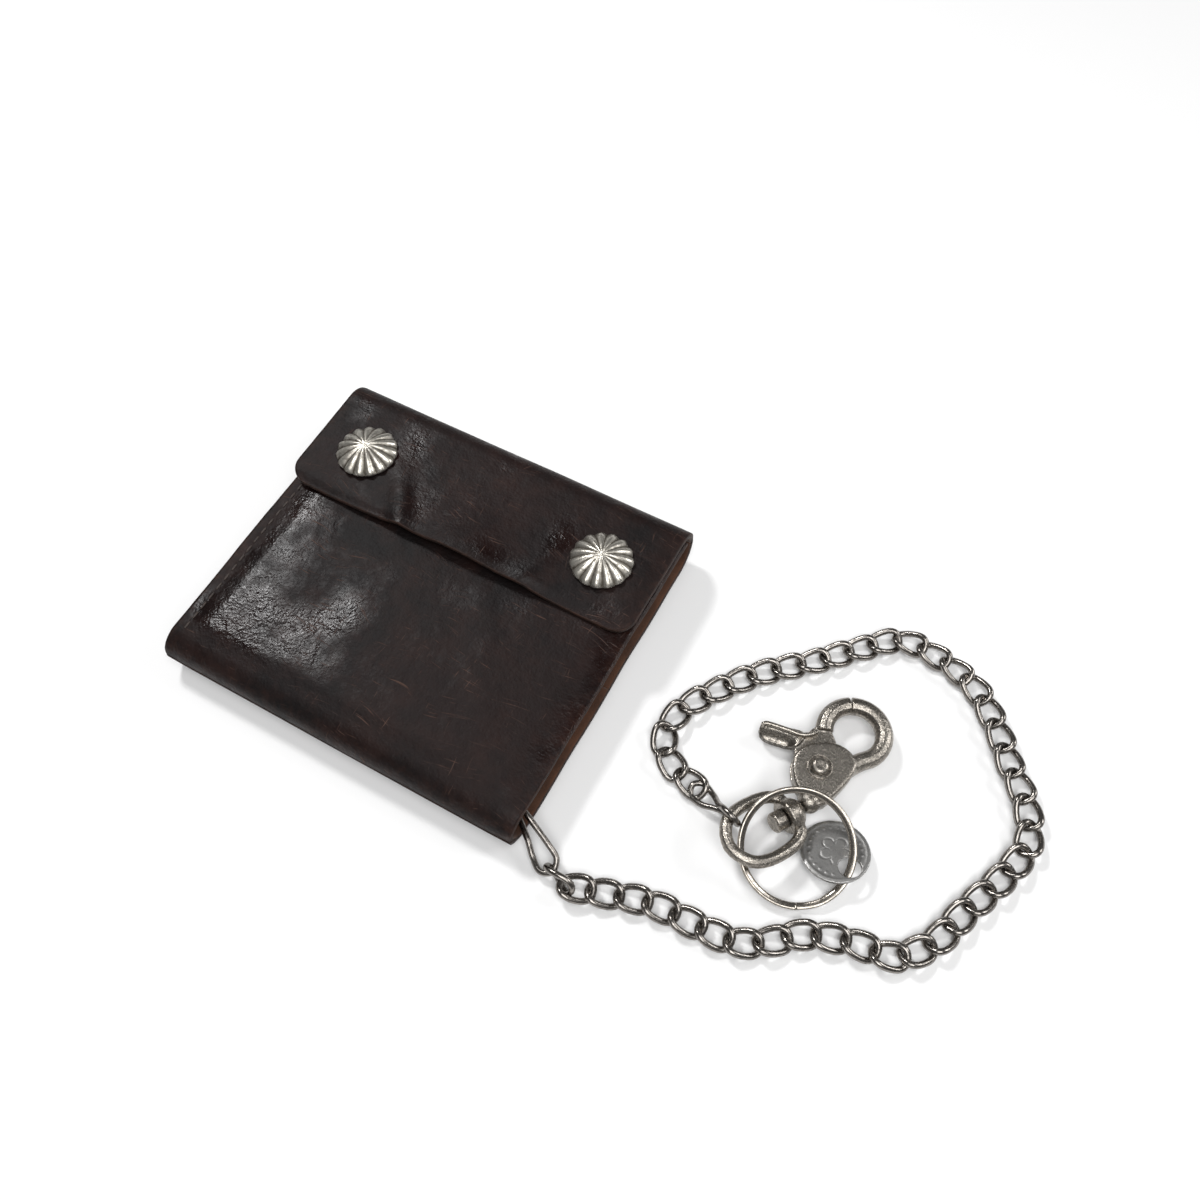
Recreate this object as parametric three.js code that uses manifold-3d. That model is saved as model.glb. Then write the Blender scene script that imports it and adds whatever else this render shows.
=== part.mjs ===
// Chain wallet: a folded leather wallet with two snap conchos, a curb chain and a swivel trigger hook.
// Millimetres, +Z up. Origin: middle of the wallet's footprint, on the surface that it lies on.
// +X runs along the folds, +Y from the bottom fold to the top fold. The chain lies free on the +X side.
import * as THREE from "three";
import { mergeVertices } from "three/addons/utils/BufferGeometryUtils.js";
import Module from "manifold-3d";

// ---- Driving dimensions -------------------------------------------------------------------------

const walletWidth = 105; // along the folds
const walletDepth = 95; // bottom fold to top fold
const bodyThickness = 13; // both covers closed, without the flap
const leather = 1.6; // outer hide
const clearance = 0.3; // between pieces that rest on each other
const pivotClearance = 0.35; // round the pins and rivets

const snapGap = 1.9; // room between front cover and flap, which holds the snaps
const flapReach = 30; // flat length of the flap, from the end of the top fold
const flapCorner = 5; // corner radius of the flap
const coverMargin = 0.8; // the front cover stops this far short of the inside of the top fold
const foldHingeAngle = 45; // each fold bends at this angle before and after its middle
const foldRelief = 48; // how steeply a hinged leather edge is bevelled

const liningThickness = 0.7;
const liningInset = 2.2; // linings and pockets stay this far inside the covers
const billShare = 0.585; // the back banknote compartment's share of the room left by linings and pockets
const pocketThickness = 0.7;
const pocketPitch = 1.0; // from one card pocket to the next
const pocketStep = 12; // each pocket is this much shorter than the one under it
const pocketCount = 2; // card pockets in each half
const pocketTop = 34; // upper edge of the tallest pocket
const pocketBottom = -28; // lower seam of the pockets
const panelCorner = 3;

const conchoRadius = 9;
const conchoRise = 3.6;
const conchoFlutes = 15;
const conchoFluteDepth = 0.55;
const conchoShell = 0.9;
const conchoSpread = 36.4; // each concho's distance from the middle of the wallet
const conchoBehindEdge = 15.5; // from the flap's edge to the conchos
const postRadius = 1.3;
const socketRadius = 4.6;
const studRadius = 1.9;
const studBackRadius = 4;

const grommetFromSide = 6.5; // from the wallet's side to the grommet
const grommetFromFold = 10.5; // from the bottom fold to the grommet
const grommetBore = 1.7;
const grommetBarrel = 2.1;
const grommetFlange = 3.3;
const grommetSheet = 0.3;

const linkPitch = 6.5; // also the inside length of a link
const linkWire = 1.6;
const linkWidth = 7.2; // outside
const linkTwist = 1.05; // half of the height between a link's two ends
const linksPerNode = 5;
const linkBite = 0.12; // links of one node sink this far into each other
const linkSlack = 0.93; // the pitch between nodes, as a share of the full pitch
const linkCentreHeight = 1.85;
const linkSides = 6;
const linkSteps = 14;
const connectorWire = 1.5;

const axisHeight = 3.9; // the clasp's middle plane over the table
const hookHeading = 7; // degrees clockwise from +Y
const eyeHeading = 31.5;
const eyeLift = 12; // degrees that the far end of the eye stands up
const hookPlate = 4.8; // thickness of the hook's body
const hookRingRadius = 7.35; // middle of the hook's ring
const hookWire = 2.3; // radius of the hook's round section
const hookRingAt = [0.3, 22.2];
const rivetAt = [-2.2, 8.7];
const rivetRadius = 1.3;
const rivetHeadRadius = 2.7;
const rivetHeadRise = 1.1;
const leverPlate = 2.0;
const leverSlot = 2.6;
const leverHubRadius = 3.3;
const seamAngle = 126; // where the gate meets the hook's nose
const seamGap = 3; // degrees
const ballRadius = 2.9; // round collar at the hook's neck
const eyeWire = 1.6; // radius of the eye's section
const eyeHalfWidth = 6.8; // to the middle of the section
const eyeLength = 18.2;
const yokeRadius = 4.3;
const yokeLength = 4.4;
const studHeadRadius = 2.5;
const studHeadLength = 3.0;
const swivelPinRadius = 1.35;
const pinReach = 2.9; // the swivel pin beyond the yoke, into the hook's collar

const keyRingOuter = 14;
const keyRingWall = 1.7;
const keyRingHeight = 1.6;
const keyRingTilt = 20;
const keyRingRise = 125; // heading, from +X, of the ring's highest point
const tagRadius = 8.2;
const tagThickness = 0.8;
const tagHole = 2.7;
const tagHoleOffset = 5.0;
const tagTilt = 14;

// The chain and clasp are laid out with the grommet here, and move with the grommet as one.
const chainAnchor = [46, -37];

// The chain's route on the table, from the wallet's connector to the clasp's connector.
const chainRoute = [
  [69.4, -47.9], [76, -45.6], [86, -42.6], [98, -42], [107, -41], [113.5, -37.2],
  [119, -32.6], [129, -28.8], [139, -27], [145.5, -20.5], [150, -9.5], [155, 2], [157.6, 12],
  [154.5, 21], [148, 29], [141.5, 37.5], [133.5, 45], [122, 48.8], [112.5, 48.8], [104.5, 42],
  [95, 32.5], [84, 22.5], [76, 12.5], [70.6, 3], [70.4, -5], [75, -10.2], [81.2, -12.3],
];

// ---- Sizes that follow --------------------------------------------------------------------------

const halfWidth = walletWidth / 2;
const halfDepth = walletDepth / 2;
const flapUnder = bodyThickness + snapGap;
const flapTop = flapUnder + leather;
const bottomFold = { y: -halfDepth + bodyThickness / 2, z: bodyThickness / 2, r: bodyThickness / 2 };
const topFold = { y: halfDepth - flapTop / 2, z: flapTop / 2, r: flapTop / 2 };
const coverUnder = bodyThickness - leather;
const flapEdge = topFold.y - flapReach;
const conchoY = flapEdge + conchoBehindEdge;
const panelStack = liningThickness + clearance + (pocketCount - 1) * pocketPitch + pocketThickness;
const spareRoom = bodyThickness - 2 * leather - 2 * panelStack - clearance;
const backLining = leather + billShare * spareRoom;
const frontLining = coverUnder - (1 - billShare) * spareRoom - liningThickness;
const grommetAt = [halfWidth - grommetFromSide, -halfDepth + grommetFromFold];

const wasm = await Module();
wasm.setup();

// ---- Helpers ------------------------------------------------------------------------------------

const radians = THREE.MathUtils.degToRad;

function solidOf(geometry) {
  const bare = geometry.index ? geometry.toNonIndexed() : geometry.clone();
  bare.deleteAttribute("normal");
  bare.deleteAttribute("uv");
  const merged = mergeVertices(bare, 1e-4);
  return new wasm.Manifold(
    new wasm.Mesh({
      numProp: 3,
      vertProperties: merged.attributes.position.array,
      triVerts: new Uint32Array(merged.index.array),
    }),
  );
}

function geometryOf(solid) {
  const mesh = solid.getMesh();
  const geometry = new THREE.BufferGeometry();
  geometry.setAttribute("position", new THREE.BufferAttribute(mesh.vertProperties, 3));
  geometry.setIndex(new THREE.BufferAttribute(mesh.triVerts, 1));
  geometry.computeVertexNormals();
  return geometry;
}

// Joins geometries, then cuts others from them. Pockets sealed between the joined pieces are filled.
function shaped(joined, cut = []) {
  let solid = solidOf(joined[0]);
  for (const geometry of joined.slice(1)) {
    solid = solid.add(solidOf(geometry));
  }
  for (const geometry of cut) {
    solid = solid.subtract(solidOf(geometry));
  }
  const bodies = solid.decompose().filter((body) => body.volume() > 0);
  return geometryOf(bodies.reduce((all, body) => all.add(body)));
}

function named(name, geometry, material) {
  const mesh = new THREE.Mesh(geometry, material.clone());
  mesh.name = name;
  return mesh;
}

const plainExtrude = { bevelEnabled: false, curveSegments: 8 };

// A slab between two heights, from an outline in the XY plane.
function slab(shape, bottom, top) {
  const geometry = new THREE.ExtrudeGeometry(shape, { ...plainExtrude, depth: top - bottom });
  return geometry.translate(0, 0, bottom);
}

// A strip of hide that runs the width of the wallet, from its section in the YZ plane.
function strip(section, from = -halfWidth, to = halfWidth) {
  const geometry = new THREE.ExtrudeGeometry(new THREE.Shape(section), {
    ...plainExtrude,
    depth: to - from,
  });
  const yzx = new THREE.Matrix4().makeBasis(
    new THREE.Vector3(0, 1, 0),
    new THREE.Vector3(0, 0, 1),
    new THREE.Vector3(1, 0, 0),
  );
  return geometry.applyMatrix4(yzx).translate(from, 0, 0);
}

function roundedRectangle(x0, y0, x1, y1, radius) {
  const shape = new THREE.Shape();
  shape.absarc(x1 - radius, y0 + radius, radius, -Math.PI / 2, 0);
  shape.absarc(x1 - radius, y1 - radius, radius, 0, Math.PI / 2);
  shape.absarc(x0 + radius, y1 - radius, radius, Math.PI / 2, Math.PI);
  shape.absarc(x0 + radius, y0 + radius, radius, Math.PI, (3 * Math.PI) / 2);
  return shape;
}

// A turned piece on a vertical axis, from a closed profile of [radius, height] points, counter-clockwise.
function turned(profile, segments = 24) {
  const points = profile.map(([r, z]) => new THREE.Vector2(r, z));
  const closed = profile[0][0] > 0;
  const geometry = new THREE.LatheGeometry(closed ? [...points, points[0].clone()] : points, segments);
  return geometry.rotateX(Math.PI / 2);
}

// A round rod between two heights on a vertical axis.
function rod(x, y, bottom, top, radius, segments = 20) {
  const geometry = new THREE.CylinderGeometry(radius, radius, top - bottom, segments);
  return geometry.rotateX(Math.PI / 2).translate(x, y, (bottom + top) / 2);
}

function circleShape(radius, sides) {
  const points = [];
  for (let i = 0; i < sides; i++) {
    const angle = (2 * Math.PI * i) / sides;
    points.push(new THREE.Vector2(radius * Math.cos(angle), radius * Math.sin(angle)));
  }
  return new THREE.Shape(points);
}

// An open round bar along a curve.
function bar(curve, radius, sides, steps) {
  return new THREE.ExtrudeGeometry(circleShape(radius, sides), {
    extrudePath: curve,
    steps,
    bevelEnabled: false,
  });
}

// A closed loop of round wire.
function wireLoop(curve, radius, sides, steps) {
  return new THREE.TubeGeometry(curve, steps, radius, sides, true);
}

function loopThrough(points) {
  const vectors = points.map(([x, y, z]) => new THREE.Vector3(x, y, z));
  return new THREE.CatmullRomCurve3(vectors, true, "centripetal");
}

// ---- Materials ----------------------------------------------------------------------------------

const hide = new THREE.MeshStandardMaterial({ color: 0x33211f, roughness: 0.4, metalness: 0 });
const lining = new THREE.MeshStandardMaterial({ color: 0x5e3d2c, roughness: 0.8, metalness: 0 });
const silver = new THREE.MeshStandardMaterial({ color: 0xb4ada0, roughness: 0.35, metalness: 1 });
const gunmetal = new THREE.MeshStandardMaterial({ color: 0x6e6a64, roughness: 0.4, metalness: 1 });
const nickel = new THREE.MeshStandardMaterial({ color: 0x8b867d, roughness: 0.45, metalness: 1 });

// ---- Outer hide: one strip of leather, bent at two folds ----------------------------------------

function foldPoint(fold, radius, degrees) {
  const a = radians(degrees);
  return new THREE.Vector2(fold.y + radius * Math.cos(a), fold.z + radius * Math.sin(a));
}

function foldArc(fold, radius, from, to, steps = 6) {
  const points = [];
  for (let i = 0; i <= steps; i++) {
    points.push(foldPoint(fold, radius, from + ((to - from) * i) / steps));
  }
  return points;
}

// Angles that trim a hinged edge: its bevel on the outside, and half the gap at the pivot.
function bevelAngle(fold) {
  return THREE.MathUtils.radToDeg(((leather / 2) * Math.tan(radians(foldRelief)) + clearance) / fold.r);
}

function gapAngle(fold) {
  return THREE.MathUtils.radToDeg(clearance / 2 / (fold.r - leather));
}

// One end of a hinged strip: outside corner, pivot point and inside corner. side is +1 or -1.
function hingedEnd(fold, degrees, side) {
  return [
    foldPoint(fold, fold.r, degrees - side * bevelAngle(fold)),
    foldPoint(fold, fold.r - leather / 2, degrees - side * gapAngle(fold)),
    foldPoint(fold, fold.r - leather, degrees - side * gapAngle(fold)),
  ];
}

function backCover() {
  const low = 270 - foldHingeAngle;
  const high = 270 + foldHingeAngle;
  const section = [
    ...hingedEnd(bottomFold, low, -1).reverse(),
    ...foldArc(bottomFold, bottomFold.r, low + bevelAngle(bottomFold), 270, 3).slice(1),
    ...foldArc(topFold, topFold.r, 270, high - bevelAngle(topFold), 3).slice(0, -1),
    ...hingedEnd(topFold, high, 1),
    ...foldArc(topFold, topFold.r - leather, high - gapAngle(topFold), 270, 3).slice(1),
    ...foldArc(bottomFold, bottomFold.r - leather, 270, low + gapAngle(bottomFold), 3).slice(0, -1),
  ];
  return strip(section);
}

// The middle stretch of a fold, which turns on both its edges.
function foldMiddle(fold, middle) {
  const from = middle - foldHingeAngle;
  const to = middle + foldHingeAngle;
  const section = [
    ...hingedEnd(fold, from, -1).reverse(),
    ...foldArc(fold, fold.r, from + bevelAngle(fold), to - bevelAngle(fold)).slice(1, -1),
    ...hingedEnd(fold, to, 1),
    ...foldArc(fold, fold.r - leather, to - gapAngle(fold), from + gapAngle(fold)).slice(1, -1),
  ];
  return strip(section);
}

function frontCover() {
  const hinge = 90 + foldHingeAngle;
  const inside = topFold.r - leather;
  const rise = bodyThickness - topFold.z;
  const free = topFold.y + Math.sqrt(inside * inside - rise * rise) - coverMargin;
  const section = [
    new THREE.Vector2(free, coverUnder),
    new THREE.Vector2(free, bodyThickness),
    ...foldArc(bottomFold, bottomFold.r, 90, hinge - bevelAngle(bottomFold), 3).slice(0, -1),
    ...hingedEnd(bottomFold, hinge, 1),
    ...foldArc(bottomFold, bottomFold.r - leather, hinge - gapAngle(bottomFold), 90, 3).slice(1),
  ];
  const holes = [];
  for (const x of [-conchoSpread, conchoSpread]) {
    holes.push(rod(x, conchoY, coverUnder - 1, bodyThickness + 1, postRadius + pivotClearance));
  }
  return shaped([strip(section)], holes);
}

function flap() {
  const hinge = 90 - foldHingeAngle;
  const section = [
    ...hingedEnd(topFold, hinge, -1).reverse(),
    ...foldArc(topFold, topFold.r, hinge + bevelAngle(topFold), 90, 3).slice(1),
    new THREE.Vector2(flapEdge, flapTop),
    new THREE.Vector2(flapEdge, flapUnder),
    ...foldArc(topFold, topFold.r - leather, 90, hinge + gapAngle(topFold), 3).slice(0, -1),
  ];
  const outline = roundedRectangle(-halfWidth, flapEdge, halfWidth, halfDepth + flapCorner, flapCorner);
  const solid = solidOf(strip(section)).intersect(solidOf(slab(outline, -1, flapTop + 1)));
  const holes = [];
  for (const x of [-conchoSpread, conchoSpread]) {
    holes.push(rod(x, conchoY, flapUnder - 1, flapTop + 1, postRadius + pivotClearance));
  }
  return shaped([geometryOf(solid)], holes);
}

// ---- Linings and card pockets -------------------------------------------------------------------

function innerPanel(lower, upper, bottom, thickness) {
  const side = halfWidth - liningInset;
  return slab(roundedRectangle(-side, lower, side, upper, panelCorner), bottom, bottom + thickness);
}

function backLiningPanel() {
  const panel = innerPanel(bottomFold.y + liningInset, topFold.y - 1, backLining, liningThickness);
  const hole = rod(...grommetAt, backLining - 1, backLining + 2, grommetBarrel + clearance);
  return shaped([panel], [hole]);
}

function addLinings(group) {
  const frontLower = bottomFold.y + liningInset;
  group.add(named("bill_lining_back", backLiningPanel(), lining));
  group.add(
    named("bill_lining_front", innerPanel(frontLower, topFold.y - 2, frontLining, liningThickness), lining),
  );
  for (let i = 0; i < pocketCount; i++) {
    const upper = pocketTop - i * pocketStep;
    const backHeight = backLining + liningThickness + clearance + i * pocketPitch;
    const frontHeight = frontLining - clearance - pocketThickness - i * pocketPitch;
    const back = innerPanel(pocketBottom, upper, backHeight, pocketThickness);
    const front = innerPanel(pocketBottom, upper, frontHeight, pocketThickness);
    group.add(named(`back_card_pocket_${i + 1}`, back, lining));
    group.add(named(`front_card_pocket_${i + 1}`, front, lining));
  }
}

// ---- Snaps and conchos --------------------------------------------------------------------------

// A fluted dome: the rim and the crown rise and fall with the angle.
function conchoDome() {
  const profile = [
    [0, conchoRise - conchoShell],
    [conchoRadius * 0.5, conchoRise * 0.78 - conchoShell],
    [conchoRadius * 0.97, 0],
    [conchoRadius, 0.45],
    [conchoRadius * 0.82, conchoRise * 0.5],
    [conchoRadius * 0.5, conchoRise * 0.84],
    [conchoRadius * 0.2, conchoRise],
    [0, conchoRise],
  ];
  const geometry = turned(profile, conchoFlutes * 4);
  const at = geometry.attributes.position;
  for (let i = 0; i < at.count; i++) {
    const x = at.getX(i);
    const y = at.getY(i);
    const reach = Math.min(1, Math.hypot(x, y) / conchoRadius);
    const wave = Math.cos(conchoFlutes * Math.atan2(y, x));
    at.setZ(i, at.getZ(i) + conchoFluteDepth * wave * reach * reach * 0.5 + conchoFluteDepth * 0.5 * reach);
    at.setX(i, x * (1 + 0.02 * wave * reach));
    at.setY(i, y * (1 + 0.02 * wave * reach));
  }
  return geometry;
}

function addSnap(group, side, x) {
  const seat = flapTop + clearance;
  const socketTop = flapUnder - clearance;
  const socketBottom = bodyThickness + clearance;
  const roof = 0.35;
  const post = rod(0, 0, socketTop + clearance, seat + conchoRise - conchoShell, postRadius);
  const dome = conchoDome().translate(0, 0, seat);
  const concho = shaped([dome, post]).translate(x, conchoY, 0);
  const bore = studRadius + pivotClearance;
  const socket = turned([
    [0, socketTop - roof],
    [bore, socketTop - roof],
    [bore, socketBottom],
    [socketRadius - 0.8, socketBottom],
    [socketRadius, socketTop - roof],
    [socketRadius, socketTop],
    [0, socketTop],
  ]).translate(x, conchoY, 0);
  const backTop = coverUnder - clearance;
  const backBottom = backTop - 0.6;
  const stud = turned([
    [0, backBottom],
    [postRadius, backBottom],
    [postRadius, bodyThickness + clearance],
    [studRadius, bodyThickness + clearance],
    [studRadius, socketTop - roof - clearance - 0.2],
    [studRadius - 0.3, socketTop - roof - clearance],
    [0, socketTop - roof - clearance],
  ]).translate(x, conchoY, 0);
  const studBack = turned([
    [postRadius + pivotClearance, backBottom],
    [studBackRadius, backBottom],
    [studBackRadius, backTop],
    [postRadius + pivotClearance, backTop],
  ]).translate(x, conchoY, 0);
  group.add(named(`concho_${side}`, concho, silver));
  group.add(named(`snap_socket_${side}`, socket, nickel));
  group.add(named(`snap_stud_${side}`, stud, nickel));
  group.add(named(`stud_back_${side}`, studBack, nickel));
}

// ---- Grommet and the wallet's connector ---------------------------------------------------------

function addGrommet(group) {
  const under = backLining - clearance - grommetSheet;
  const over = backLining + liningThickness + clearance;
  const eyelet = turned([
    [grommetBore, under],
    [grommetFlange, under],
    [grommetFlange, under + grommetSheet],
    [grommetBarrel, under + grommetSheet],
    [grommetBarrel, over + grommetSheet],
    [grommetBore, over + grommetSheet],
  ]).translate(...grommetAt, 0);
  const washer = turned([
    [grommetBarrel + clearance / 2, over],
    [grommetFlange, over],
    [grommetFlange, over + grommetSheet],
    [grommetBarrel + clearance / 2, over + grommetSheet],
  ]).translate(...grommetAt, 0);
  group.add(named("chain_grommet", eyelet, nickel));
  group.add(named("grommet_washer", washer, nickel));
}

// A long open wire link: one end goes down through the grommet, the other holds the first chain link.
function addWalletConnector(group) {
  const under = (leather + backLining - clearance - grommetSheet) / 2;
  const over = backLining + liningThickness + clearance * 2 + grommetSheet + connectorWire / 2;
  const onTable = connectorWire / 2 + 0.1;
  const curve = loopThrough([
    [0, 0, (under + over) / 2], [1.3, 0.3, over], [6, 0.9, over], [10, 1.5, over - 0.8],
    [14, 2.1, 4.6], [17.6, 2.3, 3.3], [19.6, 0, 2.6], [18, -2.3, 2.0], [14, -2.2, onTable + 0.9],
    [10.5, -1.5, under + 0.6], [6, -0.9, under + 0.4], [1.3, -0.3, under],
  ]);
  const geometry = wireLoop(curve, connectorWire / 2, 6, 40);
  geometry.rotateZ(radians(-32)).translate(...chainAnchor, 0);
  group.add(named("wallet_connector", geometry, gunmetal));
}

// ---- Curb chain ---------------------------------------------------------------------------------

// The middle line of one link: an oval whose two ends lean opposite ways, so the chain lies flat.
class LinkCurve extends THREE.Curve {
  getPoint(t, target = new THREE.Vector3()) {
    const a = 2 * Math.PI * t;
    const long = (linkPitch + linkWire) / 2;
    const wide = (linkWidth - linkWire) / 2;
    const square = (v) => Math.sign(v) * Math.pow(Math.abs(v), 0.86);
    return target.set(long * square(Math.cos(a)), wide * square(Math.sin(a)), linkTwist * Math.sin(2 * a));
  }
}

function chainPath() {
  const points = chainRoute.map(([x, y]) => new THREE.Vector3(x, y, linkCentreHeight));
  return new THREE.CatmullRomCurve3(points, false, "centripetal");
}

// Where each link sits: links of one node touch, and the first link of each next node stands a little off.
function linkPlaces(curve) {
  const total = curve.getLength();
  const places = [];
  let at = 0;
  while (at + linkPitch / 2 + linkWire <= total) {
    places.push(at / total);
    const last = places.length % linksPerNode === 0;
    at += last ? linkPitch * linkSlack : linkPitch + linkBite;
  }
  return places;
}

function addChain(group) {
  const curve = chainPath();
  curve.arcLengthDivisions = 400;
  const places = linkPlaces(curve);
  const link = wireLoop(new LinkCurve(), linkWire / 2, linkSides, linkSteps);
  for (let first = 0; first < places.length; first += linksPerNode) {
    const run = [];
    for (const t of places.slice(first, first + linksPerNode)) {
      const point = curve.getPointAt(t);
      const tangent = curve.getTangentAt(t);
      const placed = link.clone().rotateZ(Math.atan2(tangent.y, tangent.x));
      run.push(placed.translate(point.x, point.y, point.z));
    }
    const number = String(first / linksPerNode + 1).padStart(2, "0");
    group.add(named(`chain_links_${number}`, shaped(run), gunmetal));
  }
}

// ---- Clasp connector: a figure-of-eight wire between the chain and the eye ----------------------

function addClaspConnector(group) {
  const curve = loopThrough([
    [0, 0, 1.7], [1.5, 2.1, 1.6], [5, 1.8, 2.6], [8.3, 0.3, 5.8], [10.6, -0.5, 9.1], [13, -0.6, 9.75],
    [14.65, -0.1, 8.25], [14.75, 0.3, 6.2], [13.3, 0.6, 4.55], [11, 0.6, 4.1], [8.2, -0.2, 3],
    [5, -1.8, 1.7], [1.5, -2.1, 1.3],
  ]);
  const geometry = wireLoop(curve, connectorWire / 2, 6, 44);
  geometry.rotateZ(radians(-22)).translate(81.9, -12.4, 0);
  group.add(named("clasp_connector", geometry, gunmetal));
}

// ---- Swivel eye ---------------------------------------------------------------------------------

// Its own frame: the middle of the yoke at the origin, +Y along the swivel towards the hook.
function eyeGroup() {
  const group = new THREE.Group();
  group.position.set(105.7, -8.9, axisHeight + 0.45);
  group.rotation.set(radians(-eyeLift), 0, radians(-eyeHeading), "ZXY");
  return group;
}

function addEye(group) {
  const low = -eyeLength + eyeHalfWidth;
  const loop = loopThrough([
    [0, 0, 0], [-4.4, -0.2, 0], [-6.3, -3, 0], [-eyeHalfWidth, low, 0],
    [-eyeHalfWidth * 0.75, low - eyeHalfWidth * 0.62, 0], [0, -eyeLength, 0],
    [eyeHalfWidth * 0.75, low - eyeHalfWidth * 0.62, 0], [eyeHalfWidth, low, 0],
    [6.3, -3, 0], [4.4, -0.2, 0],
  ]);
  const half = yokeLength / 2;
  const yoke = turned([
    [0, -half], [yokeRadius - 0.5, -half], [yokeRadius, -half + 0.6],
    [yokeRadius * 0.92, half * 0.4], [yokeRadius * 0.7, half], [0, half],
  ]).rotateX(-Math.PI / 2);
  const bore = rod(0, 0, -half - 3, half + 1, swivelPinRadius + pivotClearance);
  bore.rotateX(-Math.PI / 2);
  group.add(named("swivel_eye", shaped([wireLoop(loop, eyeWire, 8, 36), yoke], [bore]), nickel));
}

function addSwivelStud(group) {
  const half = yokeLength / 2;
  const head = -half - clearance;
  const stud = turned([
    [0, head - studHeadLength], [studHeadRadius - 0.4, head - studHeadLength],
    [studHeadRadius, head - studHeadLength + 0.4], [studHeadRadius, head],
    [swivelPinRadius, head], [swivelPinRadius, half + pinReach], [0, half + pinReach],
  ]).rotateX(-Math.PI / 2);
  group.add(named("swivel_stud", stud, nickel));
}

// ---- Hook body, trigger lever and rivet ---------------------------------------------------------

// Their own frame: the neck at the origin, +Y towards the hook's nose.
function hookGroup() {
  const group = new THREE.Group();
  group.position.set(108.2, -4.4, axisHeight);
  group.rotation.z = radians(-hookHeading);
  return group;
}

function ringArc(from, to, lead = []) {
  const points = lead.map(([x, y]) => new THREE.Vector3(x, y, 0));
  const steps = 10;
  for (let i = 0; i <= steps; i++) {
    const a = radians(from + ((to - from) * i) / steps);
    const x = hookRingAt[0] + hookRingRadius * Math.cos(a);
    points.push(new THREE.Vector3(x, hookRingAt[1] + hookRingRadius * Math.sin(a), 0));
  }
  return new THREE.CatmullRomCurve3(points, false, "centripetal");
}

function smoothShape(points, divisions = 32) {
  const curve = new THREE.CatmullRomCurve3(
    points.map(([x, y]) => new THREE.Vector3(x, y, 0)),
    true,
    "centripetal",
  );
  return new THREE.Shape(curve.getSpacedPoints(divisions).slice(0, -1).map((p) => new THREE.Vector2(p.x, p.y)));
}

function addHook(group) {
  const half = hookPlate / 2;
  const round = 0.8;
  const outline = smoothShape([
    [-2.2, 1], [-5.4, 3.2], [-7.9, 7.2], [-7.5, 11], [-4.9, 14], [-1.6, 15.9], [1.6, 16],
    [4.2, 14.4], [4.6, 11], [4.2, 7.5], [3.4, 4], [2.2, 1],
  ]);
  const plate = new THREE.ExtrudeGeometry(outline, {
    depth: hookPlate - 2 * round,
    bevelThickness: round,
    bevelSize: round * 0.9,
    bevelOffset: 0,
    bevelSegments: 2,
  }).translate(0, 0, -half + round);
  const collar = new THREE.SphereGeometry(ballRadius, 16, 10).translate(0, 0.6, 0);
  const nose = bar(ringArc(-48, seamAngle - seamGap, [[2, 9.4], [3.2, 12.6]]), hookWire, 10, 26);
  const slot = new THREE.BoxGeometry(14, 16, leverSlot).translate(rivetAt[0] + 4 - 7, 11.2, 0);
  const bore = rod(...rivetAt, -half - 1, half + 1, rivetRadius + pivotClearance);
  const pinHole = rod(0, 0, -4, 1.4, swivelPinRadius + pivotClearance).rotateX(-Math.PI / 2);
  pinHole.rotateX(-radians(eyeLift)).rotateZ(-radians(eyeHeading - hookHeading)).translate(0, 0, -0.6);
  group.add(named("hook_body", shaped([plate, collar, nose], [slot, bore, pinHole]), nickel));
}

function addLever(group) {
  const half = leverPlate / 2;
  const arm = slab(
    smoothShape([
      [rivetAt[0] + 0.9, rivetAt[1] - 3.2], [rivetAt[0] + 3.2, rivetAt[1] + 0.6],
      [rivetAt[0] + 2.6, 13.4], [-1.6, 16.6], [-5.6, 19.4], [-8.2, 18], [-9.2, 13.6],
      [-9.4, 9.6], [-7.6, 7.2], [-4.4, 5.4],
    ]),
    -half,
    half,
  );
  const gate = bar(ringArc(seamAngle + seamGap, 212), hookWire, 10, 12);
  const tab = slab(
    smoothShape([[-9.4, 14.6], [-14, 13.4], [-19, 11.6], [-19.3, 9.2], [-17, 8.2], [-13, 9.2], [-9.6, 10.4]], 20),
    -1.7,
    1.7,
  );
  const bore = rod(...rivetAt, -2, 2, rivetRadius + pivotClearance);
  const springRoom = rod(...rivetAt, 0.1, 2, leverHubRadius - 0.5);
  group.add(named("trigger_lever", shaped([arm, gate, tab], [bore, springRoom]), nickel));
}

function addRivet(group) {
  const half = hookPlate / 2 + clearance / 2;
  const profile = [
    [0, -half - rivetHeadRise], [rivetHeadRadius * 0.6, -half - rivetHeadRise * 0.8],
    [rivetHeadRadius, -half - 0.3], [rivetHeadRadius, -half], [rivetRadius, -half],
    [rivetRadius, half], [rivetHeadRadius, half], [rivetHeadRadius, half + 0.3],
    [rivetHeadRadius * 0.6, half + rivetHeadRise * 0.8], [0, half + rivetHeadRise],
  ];
  group.add(named("lever_rivet", turned(profile, 20).translate(...rivetAt, 0), nickel));
}

// The torsion spring round the rivet, in the lever's recess.
function addSpring(group) {
  const wire = 0.32;
  const radius = (rivetRadius + leverHubRadius - 0.5) / 2;
  const points = [];
  for (let i = 0; i <= 12; i++) {
    const a = radians(20 + i * 26);
    points.push(new THREE.Vector3(radius * Math.cos(a), radius * Math.sin(a), 0.66));
  }
  const spring = bar(new THREE.CatmullRomCurve3(points), wire, 6, 20);
  group.add(named("lever_spring", spring.translate(...rivetAt, 0), gunmetal));
}

// ---- Split key ring and tag ---------------------------------------------------------------------

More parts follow.
